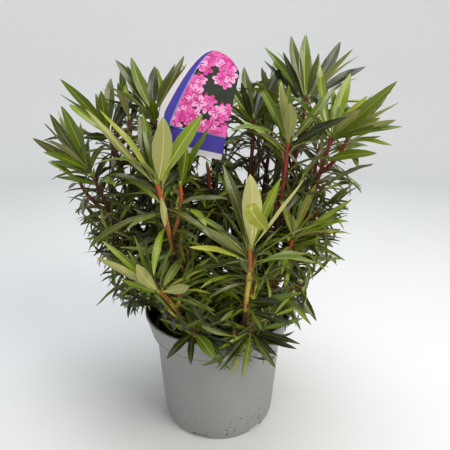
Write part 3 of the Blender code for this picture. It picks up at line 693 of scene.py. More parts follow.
# A truss: unopened buds above a cluster of blossoms.
def truss(x, y, chance):
    shapes = []
    for _ in range(label["trussBuds"]):
        aim = radians(90 + chance.uniform(-label["budSpread"], label["budSpread"]))
        out = label["trussRadius"] * chance.uniform(*label["budReach"])
        shapes.append([(oval(x + out * cos(aim), y + out * sin(aim), 0.0, aim, *label["budSize"], 1.0),
                chance.choice((rosePink, deepPink)))])
    for number in range(label["trussBlossoms"]):
        aim = number * goldenAngle
        out = label["trussRadius"] * math.sqrt(number / label["trussBlossoms"])
        size = chance.uniform(*label["blossomSizes"])
        rise = out * sin(aim) * label["trussFlatness"]
        shapes.append(blossom(x + out * cos(aim), y + rise, size, chance.uniform(0, tau), chance))
    return shapes


# The places of the trusses in the picture, dealt out with a gap between them, the highest first.
def trussPlaces(picture, chance):
    lowX, highX = min(x for x, _ in picture), max(x for x, _ in picture)
    lowY, highY = min(y for _, y in picture), max(y for _, y in picture)
    spots = []
    for _ in range(label["tries"]):
        spot = Vector((chance.uniform(lowX, highX), chance.uniform(lowY, highY)))
        if len(spots) < label["trusses"] and all((spot - other).length > label["trussGap"]
                for other in spots):
            spots.append(spot)
    return sorted((tuple(spot) for spot in spots), key=lambda spot: -spot[1])


def makeLabel():
    chance = random.Random(label["seed"])
    shape = bmesh.new()
    face, ink = label["thickness"] / 2, label["ink"]
    margin, band, line = label["margin"], label["band"], label["line"]
    panelFoot = label["foot"] + label["footBand"]
    picture = cardOutline(margin + band + line, 0.0, panelFoot + line)
    addLayer(shape, cardOutline(), -face, face, whiteCard)
    addLayer(shape, cardOutline(margin, 0.0, label["foot"]), face, face + ink, indigo)
    addLayer(shape, cardOutline(margin + band, 0.0, panelFoot), face + ink, face + 2 * ink, sky)
    addLayer(shape, picture, face + 2 * ink, face + 3 * ink, darkLeaf)
    level = face + 3 * ink
    for x, y in trussPlaces(picture, chance):
        for flower in truss(x, y, chance):
            for points, finish in flower:
                addLayer(shape, clipped(points, picture), level, level + ink / label["shapeParts"], finish)
                level += ink / label["nextShapeParts"]
            level += ink / label["nextFlowerParts"]
    bmesh.ops.recalc_face_normals(shape, faces=shape.faces)
    turn = Matrix(labelAxes()).transposed().to_4x4()
    shape.transform(Matrix.Translation(label["centre"]) @ turn)
    card = place("labelCard", meshOf(shape, "labelCard"), *[printedInk(*ink) for ink in inks])
    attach(card, "root")
    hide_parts("label_card")


# A round tube along a path, closed at both ends.
def tube(name, points, radii, finish, roundness=4):
    curve = bpy.data.curves.new(name, "CURVE")
    curve.dimensions = "3D"
    curve.bevel_depth = 1.0
    curve.bevel_resolution = roundness
    curve.use_fill_caps = True
    spline = curve.splines.new("POLY")
    spline.points.add(len(points) - 1)
    for point, spot, radius in zip(spline.points, points, radii):
        point.co = (*spot, 1.0)
        point.radius = radius
    mesh = plainMesh(place(name, curve), name)
    shape = bmesh.new()
    shape.from_mesh(mesh)
    bmesh.ops.remove_doubles(shape, verts=shape.verts, dist=0.00001)
    shape.to_mesh(mesh)
    shape.free()
    mesh.materials.clear()
    mesh.shade_smooth()
    mesh.set_sharp_from_angle(angle=radians(label["stickSharpOver"]))
    return place(name, mesh, finish)


# The stick stands behind the card, bends at its foot and ends behind it; its plastic is lightly scuffed.
def makeStick():
    across, along, _ = labelAxes()
    behind = Vector((0.0, label["thickness"] / 2 + label["stickGap"] + label["stickRadius"], 0.0))
    corner = (label["centre"] + across * (label["width"] / 2 - label["stickFromEdge"])
            - along * label["height"] / 2 + behind)
    bend = corner - along * label["stickBelowCard"]
    path = [label["stickFoot"] + behind]
    first, second = (path[0].lerp(bend, share) for share in label["stickPulls"])
    path += bezier(first, second, bend, corner, label["stickPoints"])
    path += [corner + along * label["stickBehindCard"]]
    finish, tree, _ = newFinish("blackStickPlastic", "#101010", 0.5)
    spot = addNode(tree, "ShaderNodeTexCoord").outputs["Object"]
    scuff = addNode(tree, "ShaderNodeTexNoise", {"Vector": spot, "Scale": 300.0})
    emboss(finish, scuff.outputs["Fac"], 0.3, 0.0003)
    stick = tube("labelStick", path, [label["stickRadius"]] * len(path), finish)
    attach(stick, "root")
    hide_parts("label_stick")


# Points along a cubic curve.
def bezier(start, startPull, endPull, end, count):
    points = []
    for step in range(count):
        t = step / (count - 1)
        s = 1.0 - t
        points.append(start * s**3 + startPull * 3 * s * s * t + endPull * 3 * s * t * t + end * t**3)
    return points


makeLabel()
makeStick()


print("limbs and shoots")
# A mass: its whorl's bearing, distance from the middle and height, its stem's length and lean, how many
# side shoots and leaves it has, the leaves' size and habit, and where on which bough its own bough starts.
Mass = namedtuple("Mass", "bearing reach height stem lean sides leaves size habit carrier share")
masses = {
    "front_left": Mass(234, 0.118, 0.386, 0.098, 14, 1, 13, 0.98, "rising", "foot", 0.84),
    "front_right": Mass(286, 0.138, 0.32, 0.085, 8, 1, 13, 0.92, "rising", "foot", 0.72),
    "front_left_low": Mass(243, 0.148, 0.266, 0.062, 40, 1, 12, 0.78, "spreading", "front_left", 0.3),
    "front_right_low": Mass(290, 0.124, 0.205, 0.026, 45, 0, 15, 0.7, "hanging", "front_right", 0.22),
    "front_low": Mass(256, 0.122, 0.203, 0.026, 45, 0, 15, 0.7, "hanging", "foot", 0.52),
    "upper_right": Mass(10, 0.121, 0.478, 0.1, 8, 2, 12, 1.0, "rising", "right", 0.52),
    "right": Mass(348, 0.148, 0.432, 0.09, 14, 2, 12, 1.0, "rising", "foot", 0.62),
    "right_inner": Mass(331, 0.1, 0.428, 0.095, 5, 1, 13, 0.95, "rising", "right", 0.34),
    "right_low": Mass(327, 0.116, 0.31, 0.08, 16, 2, 11, 0.84, "spreading", "right", 0.22),
    "right_skirt": Mass(352, 0.112, 0.255, 0.05, 40, 1, 13, 0.8, "arching", "right_low", 0.3),
    "upper_centre": Mass(26, 0.055, 0.45, 0.105, 4, 1, 13, 0.95, "rising", "upper_left", 0.3),
    "upper_left": Mass(167, 0.091, 0.46, 0.105, 8, 2, 12, 1.0, "rising", "foot", 1.0),
    "left": Mass(176, 0.148, 0.434, 0.095, 12, 2, 12, 1.0, "rising", "foot", 0.58),
    "far_left": Mass(187, 0.172, 0.39, 0.08, 20, 1, 13, 0.95, "rising", "left", 0.52),
    "left_low": Mass(169, 0.138, 0.318, 0.07, 30, 1, 13, 0.88, "spreading", "left", 0.3),
    "left_skirt": Mass(200, 0.124, 0.25, 0.05, 42, 1, 13, 0.8, "arching", "left", 0.16),
    "centre": Mass(120, 0.03, 0.385, 0.08, 4, 1, 12, 0.9, "spreading", "upper_left", 0.46),
    "back_left": Mass(130, 0.126, 0.44, 0.095, 10, 2, 11, 1.0, "rising", "back", 0.46),
    "back": Mass(95, 0.112, 0.464, 0.1, 8, 2, 11, 1.0, "rising", "foot", 0.76),
    "back_right": Mass(52, 0.136, 0.44, 0.095, 10, 2, 11, 1.0, "rising", "back", 0.36),
    "back_low_left": Mass(146, 0.142, 0.3, 0.07, 30, 1, 12, 0.88, "spreading", "back_left", 0.22),
    "back_low": Mass(92, 0.142, 0.296, 0.07, 28, 1, 12, 0.88, "arching", "back", 0.24),
    "back_low_right": Mass(36, 0.142, 0.3, 0.07, 30, 1, 12, 0.88, "spreading", "back_right", 0.3),
}

limbRule = {
    "sunk": 0.002, "footRadii": (0.015, 0.0112, 0.0098, 0.0092, 0.0088), "footHeight": 0.051,
    "footLean": Vector((0.001, 0.0006, 0.0)), "leavesAlong": (1.1, 0.5, 0.35), "pulls": (0.38, 0.32),
    "points": 18, "neck": 0.006, "mainRadius": 0.0048, "sideRadius": 0.0036, "tipRadius": 0.0029,
}

shootRule = {
    "radius": 0.0031, "tipRadius": 0.0025, "points": 9, "pulls": (0.35, 0.3), "bow": 0.05,
    "sideFirst": 0.2, "sideStep": 0.26, "sideReach": (0.6, 0.74), "sideSpread": (0.72, 0.7),
    "sideOut": 0.55, "sideBack": 0.5, "sideRise": 0.3, "sideGirth": 0.9, "sideLeaves": 0.8,
    "sideSize": 0.9, "ages": (0.5, 0.0), "budLength": 0.01, "budSunk": 0.1, "clear": 0.003,
    "testRadius": 0.0025, "retryTurn": 0.7, "tries": 9,
    # Whorls at this height and below it are slim-leaved, and fully wide-leaved by the second more above it.
    "slimBelow": (0.27, 0.12),
}

# The finer twigs along the boughs.
twigRule = {
    "count": 14, "places": (0.32, 0.98), "play": 0.8, "reach": (0.026, 0.066), "radius": 0.0014,
    "footGirth": 1.2, "ages": (0.6, 0.25), "leaves": 18, "size": 0.8, "sizePlay": (0.9, 1.12),
    "slimness": 0.5, "youthAndLight": 0.5, "budLength": 0.006, "archBelow": 0.26,
}

# The crown: no leaf leaves its outline, or lies nearer to another stem than to its own by more than the
# overreach. What stands before a kept place by less than its own depth belongs to it.
crown = {
    "overreach": 0.032, "ownDepth": 0.004, "top": 0.556, "halfWidth": 0.249, "halfDepth": 0.215,
    "floor": 0.146, "footShare": 0.66, "widestAt": 0.4, "flare": 1.6, "seed": 41,
}


# The level direction of a bearing.
def outward(bearing):
    return Vector((cos(radians(bearing)), sin(radians(bearing)), 0.0))


# The place and direction at a share of a path.
def alongPath(points, share):
    spot = share * (len(points) - 1)
    first = min(int(spot), len(points) - 2)
    step = points[first + 1] - points[first]
    return points[first] + step * (spot - first), step.normalized()


# The foot, the top whorl and the direction of a mass's own stem.
def stemOf(name):
    plan = masses[name]
    lean = radians(plan.lean)
    direction = outward(plan.bearing) * sin(lean) + up * cos(lean)
    whorl = outward(plan.bearing) * plan.reach + up * plan.height
    return whorl - direction * plan.stem, whorl, direction


# Each limb's points and radii, from the shrub's foot to the tip of every bough.
def limbPaths():
    base = up * (soilTop(0.0) - limbRule["sunk"])
    last = len(limbRule["footRadii"]) - 1
    foot = [base + up * limbRule["footHeight"] * i / last + limbRule["footLean"] * max(0.0, i - 1)
            for i in range(last + 1)]
    limbs = {"foot": (foot, list(limbRule["footRadii"]))}
    waiting = dict(masses)
    while waiting:
        for name in [each for each in waiting if waiting[each].carrier in limbs]:
            plan = waiting.pop(name)
            start, heading = alongPath(limbs[plan.carrier][0], plan.share)
            tip, _, direction = stemOf(name)
            reach = (tip - start).length
            pull = heading
            if plan.share < 1.0:
                level = Vector((tip.x - start.x, tip.y - start.y, 0.0)).normalized()
                sideways, onward, upward = limbRule["leavesAlong"]
                pull = (level * sideways + heading * onward + up * upward).normalized()
            neck = tip - direction * limbRule["neck"]
            points = bezier(start, start + pull * reach * limbRule["pulls"][0], neck
                    - direction * reach * limbRule["pulls"][1], neck, limbRule["points"] - 1)
            widest = limbRule["mainRadius"] if plan.carrier == "foot" else limbRule["sideRadius"]
            radii = [widest + (limbRule["tipRadius"] - widest) * i / (limbRule["points"] - 1)
                    for i in range(limbRule["points"])]
            limbs[name] = (points + [tip], radii)
    return limbs


# The search trees of what is already there, with their boxes, so that nothing grows through it.
taken = {"low": np.empty((0, 3)), "high": np.empty((0, 3)), "trees": []}


# Adds a closed shape to what is already there.
def take(points, faces):
    spots = np.array([tuple(point) for point in points])
    taken["low"] = np.vstack((taken["low"], spots.min(axis=0)))
    taken["high"] = np.vstack((taken["high"], spots.max(axis=0)))
    taken["trees"].append(BVHTree.FromPolygons([tuple(point) for point in points], faces))


# Whether a shape meets anything that is already there.
def touches(points, faces):
    spots = np.array([tuple(point) for point in points])
    near = np.all(spots.min(axis=0) <= taken["high"], axis=1)
    near &= np.all(spots.max(axis=0) >= taken["low"], axis=1)
    if not near.any():
        return False
    tree = BVHTree.FromPolygons([tuple(point) for point in points], faces)
    return any(tree.overlap(taken["trees"][number]) for number in np.flatnonzero(near))


# How far a spot lies from a straight line between two points.
def fromSegment(spot, start, end):
    line = end - start
    share = max(0.0, min(1.0, (spot - start).dot(line) / line.length_squared))
    return (spot - start - line * share).length


# Whether a spot lies in the crown, which is narrower towards its foot.
def inCrown(spot):
    if not crown["floor"] < spot.z < crown["top"]:
        return False
    rise = min(1.0, (spot.z - crown["floor"]) / (crown["widestAt"] - crown["floor"]))
    widest = crown["footShare"] + (1.0 - crown["footShare"]) * rise ** crown["flare"]
    if math.hypot(spot.x / crown["halfWidth"], spot.y / crown["halfDepth"]) > widest:
        return False
    return all(cadLow[i] < spot[i] < cadHigh[i] for i in range(3))


# The direction in which the camera sees a pixel of the photograph.
def sightLine(pixel):
    tilt = radians(view["tiltDown"])
    middle = view["imagePixels"] / 2
    onward = Vector((0.0, cos(tilt), -sin(tilt)))
    upward = Vector((0.0, sin(tilt), cos(tilt)))
    aim = onward * view["focalPixels"] + Vector((pixel[0] - middle, 0.0, 0.0)) + upward * (middle - pixel[1])
    return aim.normalized()


# The crown's outline against the sky, in pixels of the photograph, from the far left tip over the top.
crownOutline = [
    (33, 138), (47, 110), (58, 103), (59, 78), (70, 84), (82, 94), (91, 95), (100, 87), (110, 76),
    (113, 55), (122, 57), (131, 55), (141, 64), (149, 70), (155, 64), (164, 70), (174, 61), (184, 52),
    (190, 58), (204, 64), (236, 66), (244, 66), (252, 74), (258, 76), (262, 60), (263, 45), (272, 52),
    (281, 49), (290, 34), (298, 43), (306, 33), (314, 43), (323, 53), (333, 43), (341, 38), (351, 37),
    (358, 46), (360, 58), (368, 63), (368, 74), (384, 84), (398, 78), (399, 100), (400, 115), (405, 127),
    (394, 134), (378, 147), (377, 156), (368, 170), (366, 190), (352, 202), (348, 226), (342, 240),
    (349, 258), (336, 266), (318, 272), (312, 292), (320, 324), (312, 326), (304, 314), (302, 348),
    (292, 350), (280, 368), (246, 380), (222, 378), (200, 370), (160, 364), (154, 340), (146, 316),
    (124, 316), (104, 298), (106, 288), (94, 266), (83, 252), (82, 234), (73, 222), (70, 208), (56, 180),
    (44, 154), (33, 150),
]


# Whether the camera sees a spot inside the crown's outline.
def inOutline(spot):
    tilt = radians(view["tiltDown"])
    away = spot - Vector(view["eye"])
    depth = away.y * cos(tilt) - away.z * sin(tilt)
    height = away.y * sin(tilt) + away.z * cos(tilt)
    u = view["imagePixels"] / 2 + view["focalPixels"] * away.x / depth
    v = view["imagePixels"] / 2 - view["focalPixels"] * height / depth
    inside = False
    for (au, av), (bu, bv) in zip(crownOutline, crownOutline[1:] + crownOutline[:1]):
        if (av > v) != (bv > v) and u < au + (bu - au) * (v - av) / (bv - av):
            inside = not inside
    return inside


# Places that the photograph shows plainly, with how much round them stays free towards the camera.
kept = {"places": [], "radii": []}


def keepInView(place, radius):
    kept["places"].append(tuple(place))
    kept["radii"].append(radius)


# Whether any of the spots lies before a kept place, seen from the camera, with a margin round it.
def inFront(spots, margin):
    places, radii = np.array(kept["places"]), np.array(kept["radii"])
    lines = np.array(view["eye"]) - places
    lines /= np.linalg.norm(lines, axis=1)[:, None]
    away = np.array([tuple(spot) for spot in spots])[:, None, :] - places[None, :, :]
    along = np.einsum("pqi,qi->pq", away, lines)
    aside = np.linalg.norm(away - along[..., None] * lines[None], axis=2)
    return bool(((along > crown["ownDepth"]) & (aside < radii[None] + margin)).any())


# Whether a leaf would hide a kept place, tested along its rib and its outer edges.
def hides(root, points):
    tip, left, right, top = points[1:5]
    ends = ((root, top), (top, tip), (left, tip), (right, tip))
    return inFront([a.lerp(b, quarter / 4) for a, b in ends for quarter in (1, 2, 3, 4)], 0.0)


# Whether a spot lies in the crown and nearer to its own mass's stem than to any other, or nearly so.
def inOwnSpace(spot, name):
    if not inCrown(spot):
        return False
    own = fromSegment(spot, *stemOf(name)[:2])
    return all(own < fromSegment(spot, *stemOf(other)[:2]) + crown["overreach"] for other in masses)


# The path of a shoot that leaves a stem sideways and turns up beside it.
def sideShoot(stem, share, turn, reach):
    start, heading = alongPath(stem, share)
    level = Matrix.Rotation(turn, 3, heading) @ heading.orthogonal().normalized()
    onward, sideways = shootRule["sideSpread"]
    aim = (heading * onward + level * sideways).normalized()
    turnedBack = (heading + up * shootRule["sideRise"]).normalized()
    end = start + (aim * shootRule["sideOut"] + turnedBack * shootRule["sideBack"]) * reach
    firstPull, lastPull = shootRule["pulls"]
    return bezier(start, start + aim * reach * firstPull, end - heading * reach * lastPull, end,
            shootRule["points"])


# A slim three-sided stand-in for a shoot, for tests of what touches what.
def shootProxy(points, radius):
    corners, faces = [], []
    for number, spot in enumerate(points):
        heading = (points[min(number + 1, len(points) - 1)] - points[max(number - 1, 0)]).normalized()
        side = heading.orthogonal().normalized() * radius
        corners += [spot + Matrix.Rotation(turn * tau / 3, 3, heading) @ side for turn in range(3)]
    for ring in range(len(points) - 1):
        for corner in range(3):
            a, b = ring * 3 + corner, ring * 3 + (corner + 1) % 3
            faces.append((a, b, b + 3, a + 3))
    return corners, faces


leafRule = {
    "length": 0.092, "width": 0.0126, "thickness": 0.018, "middle": 0.47, "fold": 0.1, "neck": 0.22,
    "chordShare": 0.72, "creased": 100, "creaseShare": 0.66, "crease": (0.6, 0.15),
    "droop": (1.5, 0.9), "places": (0.985, 0.3), "crowding": 1.9, "least": 0.84, "swell": 0.24,
    "swellPhase": (0.2, 0.9), "opening": 0.8, "lengths": (0.88, 1.08), "widths": (0.8, 1.16),
    "anglePlay": 7.0, "turnPlay": 0.14, "bendPlay": (-4.0, 8.0), "tries": 9, "retryTurn": 0.22,
    "retryShrink": 0.04, "offStem": 0.0004, "lowSlimness": 0.54, "slimmerDown": 0.22, "olderDown": 0.75,
    "formPlay": 4.0,
    # How many leaves for each one of the plan, on the lowest and on the highest masses.
    "more": (2.6, 1.8),
    # How much a plainly shown leaf faces along its stem, and what of it stays in view.
    "faceAlong": 0.35, "seenWidth": 0.42, "seenFoot": 0.6,
}

# How the leaves of a shoot are held, in degrees: their angle from the shoot at its tip and at its
# lowest leaf, and how far a leaf bends down there.
habits = {
    "rising": ((13, 84), (-4, 40)),
    "spreading": ((26, 94), (8, 60)),
    "arching": ((32, 100), (18, 72)),
    "hanging": ((46, 112), (18, 60)),
}

# A leaf's shape: how far it droops and twists along its length and swings to the side, in degrees,
# how far its halves fold up, and where it is widest. A droop is matched to the nearest shape. The last
# shape bends over all at once, past its middle.
leafForms = [
    {"droop": droop, "fold": fold, "sway": sway, "twist": twist, "widest": widest}
    for droop, fold, sway, twist, widest in (
        (-8, 16, 8, 10, 1.12), (-4, 22, -12, -16, 1.18), (2, 12, 12, 14, 1.1), (8, 18, -14, 8, 1.05),
        (14, 12, 14, -18, 1.15), (20, 16, -16, 12, 1.2), (27, 8, 12, 20, 1.1), (34, 12, -12, -14, 1.15),
        (42, 6, 16, 16, 1.1), (52, 8, -12, -20, 1.12), (70, 10, 8, 14, 1.05), (88, 14, -8, 10, 1.05),
        (105, 6, 76, 10, 3.6),
    )
]

leafBuild = {
    "stations": (0.0, 0.075, 0.17, 0.3, 0.45, 0.6, 0.75, 0.87, 0.955, 1.0), "petiole": 0.075,
    "petioleWidth": 0.085, "aspect": 0.2, "ribWidth": (0.06, 0.02), "ribDepth": (0.0125, 0.003),
    "tipPower": 0.8, "mostRib": 0.8, "folds": (1.4, 0.7), "wave": 0.14, "waves": 11.0,
    # A section's six corners: how far across each lies, and the finish of the side that starts there, which
    # is 0 on the upper side, 1 on the underside and 2 on the rib. The leaf stalk's finish is 3.
    "across": (0.0, 0.46, 0.54, 1.0, 0.54, 0.46), "finishes": (0, 2, 0, 1, 2, 1), "stalk": 3,
}


# How much of its droop a leaf has reached at a share of its length.
def drooped(form, share):
    most, power = leafRule["droop"]
    if form["droop"] < leafRule["creased"]:
        return most * share ** power
    start, span = leafRule["crease"]
    past = max(0.0, min(1.0, (share - start) / span))
    return most * past * past * (3.0 - 2.0 * past)


# The sections of a leaf, a unit long along Y with its upper side facing Z: a folded blade on a rib that
# thins towards the tip, which is the last spot.
def leafSections(form):
    spots, stations = [], leafBuild["stations"]
    here = Vector((0.0, 0.0, 0.0))
    for number, share in enumerate(stations):
        if number:
            middle = (share + stations[number - 1]) / 2
            pitch = -radians(form["droop"]) * drooped(form, middle)
            yaw = radians(form["sway"]) * (middle - 0.5)
            step = Vector((sin(yaw) * cos(pitch), cos(yaw) * cos(pitch), sin(pitch)))
            here = here + step * (share - stations[number - 1])
        if number == len(stations) - 1:
            spots.append(here)
            break
        along = max(0.0, (share - leafBuild["petiole"]) / (1.0 - leafBuild["petiole"]))
        blade = sin(pi * along ** form["widest"]) ** leafBuild["tipPower"] if along > 0 else 0.0
        half = leafBuild["aspect"] / 2 * max(leafBuild["petioleWidth"], blade)
        ribWidth, ribDepth = leafBuild["ribWidth"], leafBuild["ribDepth"]
        rib = min(half * leafBuild["mostRib"], leafBuild["aspect"] / 2 * (ribWidth[0] * (1 - share)
                + ribWidth[1] * share))
        depth = ribDepth[0] * (1 - share) + ribDepth[1] * share
        fold = math.tan(radians(form["fold"] * (leafBuild["folds"][0] - leafBuild["folds"][1] * share)))
        wave = leafBuild["wave"] * sin(leafBuild["waves"] * share + form["twist"])
        lift = half * (fold + wave) * (1.0 if along > 0 else 0.0)
        roll = Matrix.Rotation(radians(form["twist"]) * share, 3, "Y")
        pitch = -radians(form["droop"]) * drooped(form, share)
        tilt = Matrix.Rotation(pitch, 3, "X")
        for x, z in ((-half, lift), (-rib, 0.0), (rib, 0.0), (half, lift), (rib, -depth), (-rib, -depth)):
            spots.append(here + tilt @ roll @ Vector((x, 0.0, z)))
    return spots


# A leaf as a closed mesh of triangles, with its own way across and along as UVs and a finish for each face.
def leafMesh(name, form):
    spots, faces, sides, across = leafSections(form), [], [], []
    stations, around, stalk = leafBuild["stations"], leafBuild["across"], leafBuild["stalk"]
    rings = len(stations) - 1
    for ring in range(rings):
        for corner in range(6):
            follow = (corner + 1) % 6
            ends = [(ring * 6 + corner, around[corner], stations[ring]),
                    (ring * 6 + follow, around[follow], stations[ring])]
            if ring < rings - 1:
                ends += [(ring * 6 + 6 + follow, around[follow], stations[ring + 1]), (ring * 6 + 6
                        + corner, around[corner], stations[ring + 1])]
            else:
                ends.append((rings * 6, 0.5, 1.0))
            parts = [ends]
            if len(ends) == 4:
                turned = ends[1:] + ends[:1] if corner in (2, 5) else ends
                parts = [turned[:3], [turned[0], turned[2], turned[3]]]
            for part in parts:
                faces.append([end[0] for end in part])
                across += [(end[1], end[2]) for end in part]
                sides.append(stalk if ring == 0 else leafBuild["finishes"][corner])
    faces.append([5, 4, 3, 2, 1, 0])
    across += [(0.5, 0.0)] * 6
    sides.append(stalk)
    mesh = bpy.data.meshes.new(name)
    mesh.from_pydata([tuple(spot) for spot in spots], [], faces)
    layer = mesh.uv_layers.new(name="leafWay")
    layer.data.foreach_set("uv", np.array(across, np.float32).ravel())
    side = mesh.attributes.new("side", "INT", "FACE")
    side.data.foreach_set("value", np.array(sides, np.int32))
    mesh.shade_smooth()
    tip = rings * 6
    for edge in mesh.edges:
        margins = {v % 6 for v in edge.vertices if v != tip}
        edge.use_edge_sharp = margins <= {0, 3} and len(margins) == 1
    faceOutwards(mesh)
    return mesh


# A pointed bud at a shoot's tip, a unit long along Z, as radii and heights.
budOutline = ((0.0, 0.0), (0.2, 0.02), (0.27, 0.3), (0.22, 0.55), (0.12, 0.8), (0.0, 1.0))


def budMesh(name):
    return latheMesh(name, [(radius, height, 0) for radius, height in budOutline], 8)


# Dry bud scales that curl back, and the ring of them at a shoot's foot.
scaleRule = {
    "curls": (60, 110, 150), "steps": 5, "half": 0.11, "widens": (0.18, 0.8), "ridge": 0.05,
    "hollow": -0.02, "place": 0.06, "count": 12, "lean": (0.2, 1.1), "lengths": (0.006, 0.011),
    "sunk": 0.7, "play": 0.002,
}


# One scale, a unit long along Z.
def scaleMesh(name, curl):
    spots, faces = [], []
    here, steps = Vector((0.0, 0.0, 0.0)), scaleRule["steps"]
    narrow, wider = scaleRule["widens"]
    for number in range(steps):
        share = number / (steps - 1)
        half = scaleRule["half"] * sin(pi * (narrow + wider * share))
        bend = radians(curl) * share
        for x, y in ((-half, 0.0), (0.0, scaleRule["ridge"]), (half, 0.0), (0.0, scaleRule["hollow"])):
            spots.append(here + Vector((x, y * cos(bend), -y * sin(bend))))
        here = here + Vector((0.0, sin(bend), cos(bend))) / (steps - 1)
    for ring in range(steps - 1):
        for corner in range(4):
            follow = (corner + 1) % 4
            faces.append((ring * 4 + corner, ring * 4 + follow, ring * 4 + 4 + follow, ring * 4 + 4 + corner))
    faces += [(3, 2, 1, 0), tuple((steps - 1) * 4 + corner for corner in range(4))]
    mesh = bpy.data.meshes.new(name)
    mesh.from_pydata([tuple(spot) for spot in spots], [], faces)
    faceOutwards(mesh)
    mesh.shade_smooth()
    return mesh


# Deals shapes out on points, each turned, sized and picked by the point's own values, then sets four
# finishes by the side of the leaf.
def sprayTree():
    tree, inputs = newTree("sprays", Shapes="Collection", Upper="Material", Under="Material",
            Rib="Material", Petiole="Material")
    shapes = addNode(tree, "GeometryNodeCollectionInfo", {
        "Collection": inputs["Shapes"], "Separate Children": True, "Reset Children": True})
    kinds = {"form": "INT", "turn": "FLOAT_VECTOR", "size": "FLOAT_VECTOR", "side": "INT"}
    pick, turn, size, side = [
        addNode(tree, "GeometryNodeInputNamedAttribute", {"Name": name}, data_type=kind).outputs["Attribute"]
        for name, kind in kinds.items()]
    dealt = addNode(tree, "GeometryNodeInstanceOnPoints", {
        "Points": inputs["Geometry"], "Instance": shapes.outputs[0], "Pick Instance": True,
        "Instance Index": pick, "Rotation": turn, "Scale": size})
    real = addNode(tree, "GeometryNodeRealizeInstances", {"Geometry": dealt.outputs["Instances"]})
    whole = addNode(tree, "GeometryNodeSetMaterial", {"Geometry": real.outputs["Geometry"],
            "Material": inputs["Upper"]}).outputs["Geometry"]
    for number, finish in ((1, "Under"), (2, "Rib"), (3, "Petiole")):
        chosen = addNode(tree, "FunctionNodeCompare", {2: side, 3: number},
                data_type="INT", operation="EQUAL")
        whole = addNode(tree, "GeometryNodeSetMaterial", {"Geometry": whole,
                "Selection": chosen.outputs["Result"], "Material": inputs[finish]}).outputs["Geometry"]
    addNode(tree, "NodeGroupOutput", {0: whole})
    return tree


# Turns lines into stems: a round section as wide as each point's girth, rough with bark, and four finishes
# by age.
def stemTree():
    tree, inputs = newTree("stems", Spacing="Float", Sides="Int", Relief="Float", Tip="Material",
            Young="Material", Middle="Material", Old="Material")
    line = addNode(tree, "GeometryNodeMeshToCurve", {"Mesh": inputs["Geometry"]})
    even = addNode(tree, "GeometryNodeResampleCurve", {
        "Curve": line.outputs["Curve"], "Length": inputs["Spacing"]}, mode="LENGTH")
    girth = addNode(tree, "GeometryNodeInputNamedAttribute", {"Name": "girth"}, data_type="FLOAT")
    ring = addNode(tree, "GeometryNodeCurvePrimitiveCircle", {"Resolution": inputs["Sides"], "Radius": 1.0})
    skin = addNode(tree, "GeometryNodeCurveToMesh", {"Curve": even.outputs["Curve"],
            "Profile Curve": ring.outputs["Curve"], "Scale": girth.outputs["Attribute"], "Fill Caps": True})
    spot = addNode(tree, "GeometryNodeInputPosition").outputs["Position"]
    stretched = addNode(tree, "ShaderNodeVectorMath", {0: spot, 1: (1.0, 1.0, 0.35)}, operation="MULTIPLY")
    lumps = addNode(tree, "ShaderNodeTexNoise", {
        "Vector": stretched.outputs[0], "Scale": 260.0, "Detail": 3.0})
    depth = addNode(tree, "ShaderNodeMath", {0: lumps.outputs["Fac"], 1: 0.5}, operation="SUBTRACT")
    amount = addNode(tree, "ShaderNodeMath", {0: depth.outputs[0], 1: inputs["Relief"]}, operation="MULTIPLY")
    byGirth = addNode(tree, "ShaderNodeMath", {0: amount.outputs[0], 1: girth.outputs["Attribute"]},
            operation="MULTIPLY")
    normal = addNode(tree, "GeometryNodeInputNormal").outputs["Normal"]
    push = addNode(tree, "ShaderNodeVectorMath", {0: normal, "Scale": byGirth.outputs[0]}, operation="SCALE")
    rough = addNode(tree, "GeometryNodeSetPosition", {
        "Geometry": skin.outputs["Mesh"], "Offset": push.outputs[0]})
    smooth = addNode(tree, "GeometryNodeSetShadeSmooth", {"Geometry": rough.outputs["Geometry"]})
    real = addNode(tree, "GeometryNodeRealizeInstances", {"Geometry": smooth.outputs["Geometry"]})
    whole = addNode(tree, "GeometryNodeSetMaterial", {"Geometry": real.outputs["Geometry"],
            "Material": inputs["Tip"]}).outputs["Geometry"]
    age = addNode(tree, "GeometryNodeInputNamedAttribute", {"Name": "age"}, data_type="FLOAT")
    blotch = addNode(tree, "ShaderNodeTexNoise", {"Vector": spot, "Scale": 130.0, "Detail": 2.0})
    ragged = addNode(tree, "ShaderNodeMath", {0: blotch.outputs["Fac"], 1: 0.35,
            2: age.outputs["Attribute"]}, operation="MULTIPLY_ADD")
    for finish, least in (("Young", 0.37), ("Middle", 0.57), ("Old", 0.82)):
        older = addNode(tree, "FunctionNodeCompare", {0: ragged.outputs[0], 1: least}, data_type="FLOAT",
                operation="GREATER_THAN")
        whole = addNode(tree, "GeometryNodeSetMaterial", {"Geometry": whole,
                "Selection": older.outputs["Result"], "Material": inputs[finish]}).outputs["Geometry"]
    addNode(tree, "NodeGroupOutput", {0: whole})
    return tree


# Lines through some paths, with a girth and an age at each point.
def linesMesh(name, paths):
    spots, edges, girths, ages = [], [], [], []
    for points, radii, older in paths:
        first = len(spots)
        spots += [tuple(point) for point in points]
        edges += [(first + i, first + i + 1) for i in range(len(points) - 1)]
        girths += list(radii)
        ages += list(older)
    mesh = bpy.data.meshes.new(name)
    mesh.from_pydata(spots, edges, [])
    setAttribute(mesh, "girth", "FLOAT", girths)
    setAttribute(mesh, "age", "FLOAT", ages)
    return mesh


# Where a leaf, bud or scale grows: its root, its turn, its size along three axes, and which shape it takes.
Spot = namedtuple("Spot", "point turn size form")


